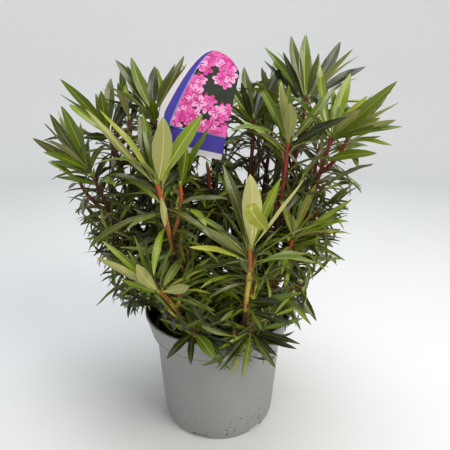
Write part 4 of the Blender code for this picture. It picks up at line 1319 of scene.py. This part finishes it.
# Spots as the points of a mesh, with their values.
def spotsMesh(name, spots):
    mesh = bpy.data.meshes.new(name)
    mesh.from_pydata([tuple(spot.point) for spot in spots], [], [])
    setAttribute(mesh, "turn", "FLOAT_VECTOR", [tuple(spot.turn) for spot in spots])
    setAttribute(mesh, "size", "FLOAT_VECTOR", [tuple(spot.size) for spot in spots])
    setAttribute(mesh, "form", "INT", [spot.form for spot in spots])
    return mesh


# How a leaf's tint is drawn: from the oldest leaves to the youngest, the chance of each tint.
leafTints = {
    "deep": {"upper": "#212a09", "under": "#505630", "rib": "#727838", "petiole": "#5a2a1c",
             "chances": (0.36, 0.1)},
    "olive": {"upper": "#464a12", "under": "#6a6e38", "rib": "#989a46", "petiole": "#6e3a24",
              "chances": (0.3, 0.24)},
    "green": {"upper": "#526510", "under": "#7e8444", "rib": "#b0b04e", "petiole": "#8a5a34",
              "chances": (0.22, 0.32)},
    "fresh": {"upper": "#6e8014", "under": "#9a9a5a", "rib": "#c6c25c", "petiole": "#a08048",
              "chances": (0.1, 0.26)},
    "lime": {"upper": "#8a8e2a", "under": "#b2b070", "rib": "#d6d070", "petiole": "#b8a060",
             "chances": (0.0, 0.08)},
}
leaves = {tint: [] for tint in leafTints}
buds, scales, shoots = [], [], {}


# How much brighter the tints dealt to the leaves of some masses are: painted light on the masses where more
# lamp light falls, and painted shade, below zero, on those at the left.
paintedLightAndShade = {"right": 0.7, "upper_right": 0.25, "right_inner": 0.2, "front_right": 0.3, "front_left_low": 0.3,
        "right_low": 0.3, "far_left": -0.2, "left": -0.1, "upper_left": 0.1}


# Draws a leaf's tint by its youth, from 0 to 1 or a little past it, to which some masses add painted light
# and painted shade.
def tintFor(youthAndLight, chance):
    pairs = [tint["chances"] for tint in leafTints.values()]
    weights = [max(0.0, oldest * (1 - youthAndLight) + youngest * youthAndLight) for oldest, youngest in pairs]
    return chance.choices(list(leafTints), weights)[0]


# A leaf's stand-in for tests of what touches what: eight faces that bend at the middle.
def leafProxy(root, aim, faceUp, length, width, bend, swollen=0.0):
    side = aim.cross(faceUp).normalized()
    normal = side.cross(aim).normalized()
    middle = root + aim * length * leafRule["middle"]
    far = (aim * cos(bend) - normal * sin(bend)).normalized()
    tip = middle + far * (length * (1.0 - leafRule["middle"]) + swollen)
    half = width / 2 + swollen
    thick = length * leafRule["thickness"] / 2 + swollen
    lift = normal * width * leafRule["fold"]
    points = [root, tip, middle - side * half + lift, middle + side * half + lift]
    points += [middle + normal * thick, middle - normal * thick]
    return points, [(0, 4, 2), (0, 3, 4), (0, 5, 3), (0, 2, 5), (1, 2, 4), (1, 4, 3), (1, 3, 5), (1, 5, 2)]


# Adds a leaf of the shape whose droop is nearest to the wanted one.
def addLeaf(root, aim, faceUp, length, width, bend, tint, chance):
    across = aim.cross(faceUp).normalized()
    normal = across.cross(aim).normalized()
    wanted = math.degrees(bend) + chance.uniform(-leafRule["formPlay"], leafRule["formPlay"])
    form = min(range(len(leafForms)), key=lambda number: abs(leafForms[number]["droop"] - wanted))
    turn = Matrix((across, aim, normal)).transposed().to_euler()
    aspect = width / (length * leafBuild["aspect"])
    leaves[tint].append(Spot(root, turn, (length * aspect, length, length), form))


# The leaves of one shoot, in a spiral that crowds into a whorl at its tip.
def growLeaves(path, count, size, slimness, habit, allowed, chance, youthAndLight=1.0):
    (steep, flat), (little, much) = habits[habit]
    highest, lowest = leafRule["places"]
    firstPhase, lastPhase = leafRule["swellPhase"]
    firstTurn = chance.uniform(0.0, tau)
    for number in range(count):
        down = number / max(1, count - 1)
        spot, heading = alongPath(path, highest + (lowest - highest) * down ** leafRule["crowding"])
        side = heading.orthogonal().normalized()
        phase = firstPhase + (lastPhase - firstPhase) * down
        length = leafRule["length"] * size
        length *= leafRule["least"] + leafRule["swell"] * sin(pi * phase)
        length *= chance.uniform(*leafRule["lengths"])
        width = leafRule["width"] * size * slimness * chance.uniform(*leafRule["widths"])
        width *= 1.0 - leafRule["slimmerDown"] * down
        for attempt in range(leafRule["tries"]):
            shift = (attempt + 1) // 2 * (1 if attempt % 2 else -1)
            turn = firstTurn + number * goldenAngle + shift * leafRule["retryTurn"]
            turn += chance.uniform(-leafRule["turnPlay"], leafRule["turnPlay"])
            level = Matrix.Rotation(turn, 3, heading) @ side
            opening = steep + (flat - steep) * down ** leafRule["opening"]
            angle = radians(opening + chance.uniform(-leafRule["anglePlay"], leafRule["anglePlay"]))
            aim = (heading * cos(angle) + level * sin(angle)).normalized()
            faceUp = (heading - aim * heading.dot(aim)).normalized()
            bend = radians(little + (much - little) * down + chance.uniform(*leafRule["bendPlay"]))
            reach = length * (1.0 - leafRule["retryShrink"] * attempt)
            root = spot + aim * leafRule["offStem"]
            points, faces = leafProxy(root, aim, faceUp, reach, width, bend)
            if not (allowed(points[1]) and allowed(points[4])) or hides(root, points):
                continue
            if not (inOutline(points[1]) and inOutline(points[1].lerp(points[4], 0.5))):
                continue
            test = [root.lerp(points[4], leafRule["neck"])] + points[1:]
            if touches(test, faces):
                continue
            take(test, faces)
            tint = tintFor(youthAndLight * (1.0 - leafRule["olderDown"] * down), chance)
            addLeaf(root, aim, faceUp, reach, width, bend, tint, chance)
            break


# A leaf that the photograph shows plainly: its tip, or the crease of one that folds over, lies on the pixel's
# line of sight at the leaf's own length from its foot, before or behind it.
def growNamedLeaf(chance, mass, share, pixel, length, width, bend, tint, shows="any", nearer=True):
    length, width = length / 1000, width / 1000
    spot, heading = alongPath(ownStem(mass), share)
    sight = sightLine(pixel)
    eye = Vector(view["eye"])
    middle = (spot - eye).dot(sight)
    off = (eye + sight * middle - spot).length
    arc = radians(bend) * leafRule["chordShare"]
    straight = length * sin(arc) / arc
    if bend >= leafRule["creased"]:
        arc, straight = 0.0, length * leafRule["creaseShare"]
    step = math.sqrt(max(0.0, straight ** 2 - off ** 2))
    tip = eye + sight * (middle - step if nearer else middle + step)
    chord = (tip - spot).normalized()
    seen = (eye - spot).normalized() * {"upper": 1.0, "under": -1.0, "any": 0.0}[shows]
    facing = heading * leafRule["faceAlong"] + seen if shows != "any" else heading
    faceUp = (facing - chord * facing.dot(chord)).normalized()
    raised = Matrix.Rotation(-arc, 3, faceUp.cross(chord))
    aim, faceUp = raised @ chord, raised @ faceUp
    root = spot + aim * leafRule["offStem"]
    points, faces = leafProxy(root, aim, faceUp, length, width, radians(bend))
    take([root.lerp(points[4], leafRule["neck"])] + points[1:], faces)
    addLeaf(root, aim, faceUp, length, width, radians(bend), tint, chance)
    for seenPlace in (points[4], points[4].lerp(points[1], 0.5), root.lerp(points[4], leafRule["seenFoot"])):
        keepInView(seenPlace, width * leafRule["seenWidth"])


# A bud at the tip of a path, sunk in by a part of its length.
def addBud(path, length):
    spot, heading = alongPath(path, 1.0)
    turn = heading.to_track_quat("Z", "Y").to_euler()
    buds.append(Spot(spot - heading * length * shootRule["budSunk"], turn, (length, length, length), 0))


# A ring of dry scales round the foot of a shoot.
def addScales(path, girth, chance):
    spot, heading = alongPath(path, scaleRule["place"])
    for number in range(scaleRule["count"]):
        level = Matrix.Rotation(number * goldenAngle, 3, heading) @ heading.orthogonal().normalized()
        aim = (heading * chance.uniform(*scaleRule["lean"]) + level).normalized()
        length = chance.uniform(*scaleRule["lengths"])
        root = spot + level * girth * scaleRule["sunk"]
        root += heading * chance.uniform(-scaleRule["play"], scaleRule["play"])
        turn = aim.to_track_quat("Z", "Y").to_euler()
        scales.append(Spot(root, turn, (length, length, length), number % len(scaleRule["curls"])))


# The path of a mass's own stem.
def ownStem(name):
    foot, whorl, direction = stemOf(name)
    length = masses[name].stem
    firstPull, lastPull = shootRule["pulls"]
    bow = direction.orthogonal().normalized() * length * shootRule["bow"]
    return bezier(foot, foot + direction * length * firstPull, whorl - direction * length * lastPull + bow,
            whorl, shootRule["points"])


# A mass's own stem, its side shoots and their leaves.
def growMass(name, number):
    plan = masses[name]
    chance = random.Random(crown["seed"] * 1000 + number)
    stem = ownStem(name)
    grownShoots = [(stem, plan.leaves, plan.size, 1.0)]
    firstTurn = chance.uniform(0.0, tau)
    for side in range(plan.sides):
        share = shootRule["sideFirst"] + shootRule["sideStep"] * side
        reach = plan.stem * chance.uniform(*shootRule["sideReach"])
        for attempt in range(shootRule["tries"]):
            turn = firstTurn + side * goldenAngle + attempt * shootRule["retryTurn"]
            path = sideShoot(stem, share, turn, reach)
            if not inOwnSpace(path[-1], name) or inFront(path[3:], shootRule["clear"]):
                continue
            if not touches(*shootProxy(path[2:], shootRule["testRadius"])):
                leafCount = round(plan.leaves * shootRule["sideLeaves"])
                grownShoots.append((path, leafCount, plan.size * shootRule["sideSize"],
                        shootRule["sideGirth"]))
                break
    lowest, span = shootRule["slimBelow"]
    high = max(0.0, min(1.0, (plan.height - lowest) / span))
    slimness = leafRule["lowSlimness"] + (1.0 - leafRule["lowSlimness"]) * high
    mostLeaves, fewestLeaves = leafRule["more"]
    more = mostLeaves + (fewestLeaves - mostLeaves) * high
    for path, count, size, girth in grownShoots:
        addShoot(name, path, shootRule["radius"] * girth, shootRule["tipRadius"] * girth, shootRule["ages"])
        # The youth passed on here carries the painted light and painted shade of the mass.
        growLeaves(path, round(count * more), size, slimness, plan.habit, lambda p: inOwnSpace(p, name),
                chance, 1.0 + paintedLightAndShade.get(name, 0.0))
        addBud(path, shootRule["budLength"] * size)
        addScales(path, shootRule["radius"] * girth, chance)


# Adds a shoot of a mass, with its girth and age at its foot and at its tip.
def addShoot(name, path, foot, tip, footAndTipAges):
    oldest, youngest = footAndTipAges
    radii = [foot + (tip - foot) * i / (len(path) - 1) for i in range(len(path))]
    ages = [oldest + (youngest - oldest) * i / (len(path) - 1) for i in range(len(path))]
    shoots.setdefault(barkStyles.get(name, "maroon"), []).append((path, radii, ages))


# Finer twigs along a bough, each with a small whorl of narrow leaves.
def growTwigs(name, number, points):
    chance = random.Random(crown["seed"] * 2000 + number)
    low, high = twigRule["places"]
    foot, tip = twigRule["radius"] * twigRule["footGirth"], twigRule["radius"]
    firstTurn = chance.uniform(0.0, tau)
    for twig in range(twigRule["count"]):
        share = low + (high - low) * (twig + chance.uniform(0.0, twigRule["play"])) / twigRule["count"]
        reach = chance.uniform(*twigRule["reach"])
        for attempt in range(shootRule["tries"]):
            turn = firstTurn + twig * goldenAngle + attempt * shootRule["retryTurn"]
            path = sideShoot(points, share, turn, reach)
            if not inCrown(path[-1]) or touches(*shootProxy(path[3:], shootRule["testRadius"])):
                continue
            if inFront(path[3:], 0.0):
                continue
            addShoot(name, path, foot, tip, twigRule["ages"])
            habit = "spreading" if path[-1].z > twigRule["archBelow"] else "arching"
            growLeaves(path, twigRule["leaves"], twigRule["size"] * chance.uniform(*twigRule["sizePlay"]),
                    twigRule["slimness"], habit, inCrown, chance, twigRule["youthAndLight"])
            addBud(path, twigRule["budLength"])
            break


# Which shoots have which bark: most are maroon, and those at the front follow their own colours.
barkStyles = {
    "front_left": "orange", "centre": "orange", "front_right": "yellow", "front_left_low": "yellow",
    "front_right_low": "yellow", "front_low": "yellow", "right_inner": "red", "right": "red",
    "upper_right": "red", "right_low": "orange",
}
# A bark's colours from the shoot's tip to its foot.
barkColours = {
    "red": ("#a03c32", "#8e3028", "#742c22", "#523020"),
    "orange": ("#cc5634", "#c47c3c", "#a87838", "#7a5430"),
    "yellow": ("#a8682c", "#cab848", "#bca43a", "#8a5a34"),
    "maroon": ("#7a3428", "#642c22", "#523022", "#402a20"),
}


# Young rhododendron bark: smooth and waxy while it is coloured, then dull, brown and finely cracked.
def bark(name, colour, roughness):
    finish, tree, shader = newFinish(name, colour, roughness)
    spot = addNode(tree, "ShaderNodeTexCoord").outputs["Object"]
    streak = addNode(tree, "ShaderNodeMapping", {"Vector": spot, "Scale": (1.0, 1.0, 0.3)})
    fine = addNode(tree, "ShaderNodeTexNoise", {"Vector": streak.outputs[0], "Scale": 500.0, "Detail": 4.0})
    dark = tuple(value * 0.6 for value in linear(colour)[:3]) + (1.0,)
    mix = addNode(tree, "ShaderNodeMix", {"Factor": fine.outputs["Fac"], "A": dark, "B": linear(colour)},
            data_type="RGBA")
    tree.links.new(mix.outputs["Result"], shader.inputs["Base Color"])
    emboss(finish, fine.outputs["Fac"], 0.4, 0.0004)
    return finish


# Rhododendron leaf, leathery: its waxed upper side shines softly, its underside is pale and dull.
def leafSkin(name, colour, roughness, veins):
    finish, tree, shader = newFinish(name, colour, roughness, Specular_IOR_Level=0.42)
    way = addNode(tree, "ShaderNodeUVMap", uv_map="leafWay").outputs["UV"]
    parts = addNode(tree, "ShaderNodeSeparateXYZ", {"Vector": way})
    off = addNode(tree, "ShaderNodeMath", {0: parts.outputs["X"], 1: 0.5}, operation="SUBTRACT")
    away = addNode(tree, "ShaderNodeMath", {0: off.outputs[0]}, operation="ABSOLUTE")
    slant = addNode(tree, "ShaderNodeMath", {0: away.outputs[0], 1: -0.22, 2: parts.outputs["Y"]},
            operation="MULTIPLY_ADD")
    wave = addNode(tree, "ShaderNodeMath", {0: slant.outputs[0], 1: 110.0}, operation="MULTIPLY")
    vein = addNode(tree, "ShaderNodeMath", {0: wave.outputs[0]}, operation="SINE")
    emboss(finish, vein.outputs[0], veins, 0.0003)
    spot = addNode(tree, "ShaderNodeTexCoord").outputs["Object"]
    cloud = addNode(tree, "ShaderNodeTexNoise", {"Vector": spot, "Scale": 45.0, "Detail": 3.0})
    rough = addNode(tree, "ShaderNodeMapRange", {
        "Value": cloud.outputs["Fac"], "From Min": 0.3, "From Max": 0.7,
        "To Min": roughness - 0.07, "To Max": roughness + 0.09})
    tree.links.new(rough.outputs["Result"], shader.inputs["Roughness"])
    return finish


# Leaves that the photograph shows plainly, by their mass: the share of its stem where the leaf grows, the
# pixel of its tip, its length and width in millimetres, its bend in degrees, its tint, the side that
# shows where one does, and False where it goes away from the camera.
namedLeaves = {
    "front_left": [
        (0.99, (163, 117), 80, 24, 2, "fresh", "under"),
        (0.98, (203, 115), 99, 17, 5, "fresh", "upper", False),
        (0.97, (139, 116), 86, 14, 3, "olive", "upper", False),
        (0.95, (100, 107), 108, 10, 6, "lime", "any", False),
        (0.96, (84, 106), 116, 9, 5, "fresh", "under"), (0.8, (96, 160), 106, 10, 88, "fresh"),
        (0.86, (165, 227), 40, 8.5, 8, "fresh", "under"),
        (0.9, (182, 168), 62, 11, 20, "deep", "upper", False),
        (0.55, (228, 197), 84, 9.5, 42, "olive", "any", False), (0.3, (196, 237), 50, 8, 40, "olive"),
        (0.02, (120, 237), 70, 7.5, 42, "green"), (0.01, (133, 256), 56, 5.8, 30, "fresh"),
    ],
    "front_right": [
        (0.99, (250, 174), 88, 22.5, 2, "lime", "under"),
        (0.99, (235, 200), 107, 19.5, 105, "lime", "under"), (0.16, (218, 310), 42, 8, 25, "deep"),
        (0.12, (223, 321), 37, 8.5, 30, "deep"), (0.1, (262, 330), 37, 8.5, 35, "green"),
        (0.15, (281, 301), 50, 9.5, 20, "deep", "upper"), (0.55, (239, 257), 34, 8.5, 4, "olive", "upper"),
        (0.05, (207, 272), 62, 7.5, 20, "green", "upper"), (0.04, (214, 291), 48, 6.5, 40, "fresh"),
        (0.02, (222, 320), 42, 8, 15, "green", "upper"), (0.03, (284, 300), 56, 8, 12, "deep", "upper"),
        (0.05, (302, 292), 80, 8, 20, "green", "upper"), (0.01, (293, 323), 64, 8.5, 20, "deep", "upper"),
        (0.97, (306, 177), 102, 5, 3, "lime", "under"),
        (0.96, (222, 160), 103, 13, 4, "olive", "upper", False),
        (0.84, (194, 221), 80, 10.5, 6, "olive", "under"),
        (0.96, (281, 178), 90, 10.5, 4, "fresh", "upper", False),
    ],
    "front_left_low": [
        (0.97, (135, 263), 58, 15, 4, "fresh", "under"),
        (0.95, (184, 257), 60, 11, 4, "fresh", "upper", False),
        (0.97, (191, 285), 50, 12, 10, "fresh", "under"), (0.94, (96, 257), 92, 8.8, 14, "fresh", "under"),
        (0.93, (101, 240), 92, 8.5, 4, "fresh", "upper", False),
        (0.9, (118, 279), 62, 7.5, 8, "green", "upper"),
    ],
    "front_low": [
        (0.95, (166, 360), 56, 9.5, 12, "deep", "upper"), (0.98, (213, 358), 52, 15, 12, "green", "upper"),
        (0.9, (191, 365), 50, 8.5, 10, "deep", "upper"),
    ],
    "front_right_low": [
        (0.95, (218, 372), 70, 8, 10, "deep", "upper"), (0.97, (242, 377), 66, 8.2, 10, "green", "upper"),
        (0.98, (275, 366), 62, 8.5, 16, "olive", "upper"), (0.97, (278, 357), 54, 6.5, 12, "deep", "upper"),
        (0.98, (265, 357), 44, 5.5, 8, "deep", "upper"), (0.93, (300, 344), 70, 7, 14, "deep", "upper"),
        (0.9, (297, 349), 66, 7.5, 10, "deep", "upper"), (0.92, (303, 318), 70, 7, 20, "green", "upper"),
    ],
    "right_skirt": [
        (0.6, (317, 321), 84, 10, 20, "olive", "upper"), (0.75, (307, 290), 52, 7.5, 50, "deep"),
        (0.95, (340, 264), 62, 6, 20, "olive"), (0.85, (315, 271), 40, 6.2, 30, "deep"),
        (0.98, (321, 254), 44, 8, 10, "green", "upper"),
    ],
    "right_low": [
        (0.98, (278, 189), 56, 9.5, 4, "lime", "upper"),
        (0.97, (318, 180), 76, 10.5, 3, "lime", "upper", False),
        (0.96, (340, 214), 66, 9.5, 8, "fresh", "upper"), (0.95, (357, 196), 92, 7, 22, "fresh", "upper"),
        (0.92, (351, 229), 80, 4.8, 30, "fresh"), (0.97, (353, 206), 80, 8.5, 30, "green"),
        (0.9, (349, 218), 80, 8, 40, "fresh"), (0.75, (344, 240), 72, 8, 40, "olive"),
        (0.88, (329, 231), 52, 5.5, 12, "green", "upper", False), (0.8, (323, 246), 46, 6, 30, "green"),
        (0.7, (314, 240), 44, 6, 12, "green", "upper"), (0.6, (320, 236), 60, 5, 16, "fresh", "upper"),
    ],
    "right": [
        (0.97, (397, 81), 112, 14, 8, "fresh", "upper"),
        (0.95, (403, 127), 100, 10.5, 16, "green", "upper"),
        (0.94, (398, 118), 100, 8.5, 12, "fresh", "under"), (0.96, (382, 118), 72, 9, 26, "fresh", "upper"),
        (0.97, (376, 108), 68, 8, 34, "lime", "upper"), (0.98, (362, 107), 74, 15, 4, "fresh", "under"),
        (0.45, (322, 132), 52, 6, 3, "fresh", "under"),
        (0.97, (351, 73), 90, 16, 2, "fresh", "upper", False),
        (0.96, (318, 58), 108, 11, 3, "fresh", "upper", False),
        (0.6, (374, 152), 90, 11.5, 25, "fresh", "upper"), (0.4, (352, 174), 64, 8.5, 46, "olive"),
        (0.25, (350, 192), 68, 8, 50, "green"), (0.5, (301, 148), 46, 8.5, 20, "deep", "upper"),
    ],
    "right_inner": [
        (0.99, (290, 103), 62, 16, 2, "fresh", "under"),
        (0.97, (256, 78), 96, 11.5, 4, "green", "upper", False),
        (0.96, (336, 85), 98, 11.5, 6, "green", "upper", False),
        (0.9, (348, 117), 88, 12, 16, "deep", "upper"), (0.9, (232, 127), 88, 8, 52, "green"),
        (0.78, (321, 147), 56, 7, 62, "fresh"), (0.52, (346, 160), 90, 6.8, 52, "olive"),
    ],
    "upper_right": [
        (0.98, (306, 34), 92, 16.5, 2, "green", "upper", False),
        (0.97, (291, 36), 92, 14.5, 3, "olive", "upper", False),
        (0.96, (264, 46), 98, 10, 6, "green", "upper", False),
        (0.93, (282, 51), 90, 10, 4, "deep", "upper"), (0.9, (272, 57), 92, 7, 8, "green", "upper", False),
        (0.86, (264, 61), 96, 7, 10, "deep", "upper", False),
        (0.93, (354, 47), 100, 7.5, 6, "fresh", "under"),
        (0.97, (341, 40), 98, 15.5, 6, "deep", "upper", False),
        (0.95, (367, 65), 100, 13.5, 12, "deep", "upper", False),
    ],
    "upper_centre": [
        (0.98, (244, 67), 80, 14, 3, "olive", "upper", False),
        (0.96, (241, 82), 62, 10, 3, "deep", "upper"), (0.94, (236, 104), 44, 7, 8, "green", "upper"),
        (0.96, (271, 105), 46, 9.5, 3, "olive", "upper"),
        (0.97, (260, 87), 58, 8, 2, "deep", "upper", False), (0.7, (226, 148), 56, 7, 62, "olive"),
        (0.97, (283, 66), 88, 13, 4, "deep", "upper", False),
    ],
    "left": [
        (0.96, (60, 79), 102, 12.5, 8, "green", "upper"),
        (0.98, (111, 78), 76, 15, 2, "olive", "upper", False),
        (0.97, (101, 90), 64, 13, 4, "green", "upper"),
        (0.96, (135, 91), 70, 11, 12, "deep", "upper", False),
        (0.92, (86, 136), 54, 11.5, 14, "deep", "upper"), (0.88, (78, 152), 74, 11.5, 44, "deep"),
        (0.8, (90, 166), 62, 10.5, 50, "olive"), (0.7, (95, 186), 62, 9.5, 50, "deep"),
        (0.6, (146, 180), 56, 9, 40, "green"),
    ],
    "far_left": [
        (0.95, (34, 138), 90, 11.5, 12, "olive", "upper"), (0.98, (61, 106), 88, 14.5, 6, "green", "upper"),
        (0.97, (48, 111), 94, 12, 8, "olive", "upper", False),
        (0.93, (46, 152), 74, 11, 16, "green", "upper"), (0.78, (50, 178), 72, 8.5, 42, "olive"),
        (0.7, (56, 177), 60, 7.5, 30, "green", "upper"), (0.45, (64, 193), 62, 7.5, 46, "deep"),
        (0.2, (74, 207), 58, 8, 44, "olive"),
    ],
    "left_low": [
        (0.99, (74, 229), 80, 9, 60, "green"), (0.97, (80, 221), 72, 8, 50, "deep"),
        (0.95, (73, 209), 76, 8, 20, "olive"), (0.8, (74, 231), 80, 7, 62, "olive"),
        (0.9, (88, 198), 62, 6.5, 20, "green", "upper"),
    ],
    "left_skirt": [
        (0.98, (85, 248), 84, 6.5, 66, "deep"), (0.97, (89, 240), 80, 5, 60, "olive"),
        (0.94, (98, 243), 66, 5.5, 50, "green"), (0.75, (100, 278), 64, 4.5, 30, "olive"),
        (0.55, (96, 307), 90, 4.5, 30, "olive"), (0.65, (112, 298), 58, 6, 36, "deep"),
        (0.3, (126, 316), 60, 8.5, 50, "deep"),
    ],
    "upper_left": [
        (0.97, (114, 57), 98, 15, 3, "olive", "upper", False),
        (0.98, (131, 57), 84, 14.5, 2, "green", "upper", False),
        (0.97, (155, 66), 72, 15, 2, "deep", "upper", False),
        (0.96, (184, 54), 92, 11, 4, "olive", "upper", False),
        (0.8, (153, 98), 50, 12, 2, "fresh", "upper"),
    ],
}

# Stems that show bare in the photograph: the mass, from where on its bough, and how far up its own stem.
openStems = [
    ("front_left", 0.8, 0.92), ("front_right", 0.8, 0.92), ("front_left_low", 0.72, 0.85),
    ("right_inner", 0.86, 0.9), ("right", 0.9, 0.85), ("upper_centre", 0.92, 0.8),
    ("upper_right", 0.95, 0.85),
]

# Gaps through which the wall behind shows: pixels of the photograph, and their radius in pixels.
# They are kept free by places behind the plant.
skyGaps = [
    (269, 161, 5), (264, 171, 3), (243, 169, 4), (267, 180, 3), (261, 187, 3), (202, 233, 4), (216, 237, 3),
    (236, 218, 2), (232, 228, 3), (258, 242, 2), (282, 243, 3), (263, 268, 3), (281, 281, 4), (275, 130, 3),
    (307, 155, 4), (126, 168, 3), (150, 199, 3), (119, 185, 3), (250, 150, 3), (345, 160, 3), (333, 190, 3),
    (96, 128, 3), (72, 170, 3), (210, 217, 2), (194, 196, 3), (140, 224, 3), (201, 166, 5), (218, 181, 3),
    (246, 176, 4), (208, 158, 4),
]

# The black wall and the soil inside the pot's rim, which show at the left and a little at the right.
openRim = {
    "bearings": (*range(184, 255, 7), *range(322, 339, 8)), "radius": 0.104, "belowTop": 0.006,
    "free": 0.0085, "soilPlaces": ((-0.062, -0.056), (-0.05, -0.07), (-0.034, -0.08)),
    "soilFree": 0.0105,
}

# How the open places are kept: a bare stem's free radius and its places on bough and stem, and how far
# from the camera a gap's place lies and how much of the gap stays free.
openRule = {
    "stemFree": 0.0035, "boughPlaces": 4, "stemPlaces": 12, "gapDistance": 1.1, "gapShare": 0.9,
}


# Keeps the pot's inside, the bare stems and the gaps of the photograph free of leaves.
def keepOpenPlaces(limbs):
    for bearing in openRim["bearings"]:
        rim = outward(bearing) * openRim["radius"] + up * (pot["height"] - openRim["belowTop"])
        keepInView(rim, openRim["free"])
    for x, y in openRim["soilPlaces"]:
        keepInView((x, y, soilTop(math.hypot(x, y))), openRim["soilFree"])
    for name, boughFrom, stemTo in openStems:
        for share in np.linspace(boughFrom, 1.0, openRule["boughPlaces"]):
            keepInView(alongPath(limbs[name][0], share)[0], openRule["stemFree"])
        for share in np.linspace(0.0, stemTo, openRule["stemPlaces"]):
            keepInView(alongPath(ownStem(name), share)[0], openRule["stemFree"])
    for u, v, radius in skyGaps:
        behind = Vector(view["eye"]) + sightLine((u, v)) * openRule["gapDistance"]
        keepInView(behind, radius * openRule["gapShare"] / view["focalPixels"])


# Grows the named leaves first, then every mass, then the twigs between them, so that none meets another.
def growCrown(limbs):
    for node in frame["nodes"].values():
        if not node.name.startswith("foliage_"):
            take([v.co.copy() for v in node.data.vertices], [tuple(p.vertices) for p in node.data.polygons])
    keepOpenPlaces(limbs)
    chance = random.Random(crown["seed"])
    for name, rows in namedLeaves.items():
        for row in rows:
            growNamedLeaf(chance, name, *row)
    for number, name in enumerate(masses):
        growMass(name, number)
    print("leaves on the main shoots:", sum(len(dealt) for dealt in leaves.values()))
    for number, name in enumerate(masses):
        growTwigs(name, number, limbs[name][0])
    print("leaves in all:", sum(len(dealt) for dealt in leaves.values()))


# How stems are meshed: the spacing of their rings, their sides and the depth of their bark's relief.
woodRule = {
    "limbs": {"Spacing": 0.0025, "Sides": 12, "Relief": 0.5},
    "shoots": {"Spacing": 0.003, "Sides": 9, "Relief": 0.4},
    "footAge": 1.0,
    "boughAges": (0.8, 0.45),
    "roughness": (0.5, 0.1),
}


# The foot and its boughs, and the shoots of each bark colour.
def makeWood(limbs):
    stems = stemTree()
    smooth, rougher = woodRule["roughness"]
    barks = {}
    for style, colours in barkColours.items():
        finishes = [bark(f"{style}Bark{number}", colour, smooth + rougher * number)
                    for number, colour in enumerate(colours)]
        barks[style] = dict(zip(("Tip", "Young", "Middle", "Old"), finishes))
    wood = []
    for name, (points, radii) in limbs.items():
        oldest, youngest = (woodRule["footAge"],) * 2 if name == "foot" else woodRule["boughAges"]
        last = len(points) - 1
        wood.append((points, radii, [oldest - (oldest - youngest) * i / last for i in range(last + 1)]))
    limbWood = grown("limbs", linesMesh("limbs", wood), stems, **woodRule["limbs"], **barks["maroon"])
    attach(limbWood, "root")
    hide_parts(*[node for node in frame["nodes"] if node.startswith(("stem_", "bough_"))])
    for style, paths in shoots.items():
        shoot = grown(f"shoots_{style}", linesMesh(style, paths), stems, **woodRule["shoots"], **barks[style])
        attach(shoot, "root")


# Each leaf finish's name, its roughness and how strong its side veins are.
leafFinishes = {
    "Upper": ("Top", 0.31, 0.14),
    "Under": ("Underside", 0.56, 0.05),
    "Rib": ("Rib", 0.5, 0.0),
    "Petiole": ("Stalk", 0.5, 0.0),
}


# The leaves, one piece for each tint, then the buds and their dry scales.
def makeLeaves():
    sprays = sprayTree()
    leafKit = kit("leafForms", [leafMesh(f"leafForm{number:02d}", form)
                                for number, form in enumerate(leafForms)])
    foliageNodes = [node for node in frame["nodes"] if node.startswith("foliage_")]
    for tint, colours in leafTints.items():
        skins = {part: leafSkin(f"{tint}Leaf{title}", colours[part.lower()], roughness, veins)
                 for part, (title, roughness, veins) in leafFinishes.items()}
        piece = grown(f"leaves_{tint}", spotsMesh(tint, leaves[tint]), sprays, Shapes=leafKit, **skins)
        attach(piece, "root")
        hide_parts(*foliageNodes)
    budKit = kit("budForms", [budMesh("budForm")])
    green = dict.fromkeys(leafFinishes, leafSkin("budGreen", "#7c8a30", 0.45, 0.1))
    budPiece = grown("buds", spotsMesh("buds", buds), sprays, Shapes=budKit, **green)
    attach(budPiece, "root")
    curls = enumerate(scaleRule["curls"])
    scaleKit = kit("scaleForms", [scaleMesh(f"scaleForm{number}", curl) for number, curl in curls])
    dry = dict.fromkeys(leafFinishes, peat("dryBudScale", "#5a2c1c", "#94663c"))
    scalePiece = grown("bud_scales", spotsMesh("scales", scales), sprays, Shapes=scaleKit, **dry)
    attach(scalePiece, "root")
    for shapes in (leafKit, budKit, scaleKit):
        discard(shapes)


limbs = limbPaths()
growCrown(limbs)
makeWood(limbs)

print("leaves")
makeLeaves()

faces = {thing.name: sum(len(p.vertices) - 2 for p in thing.data.polygons)
         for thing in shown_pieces() if thing.type == "MESH"}
print("triangles:", faces, sum(faces.values()))
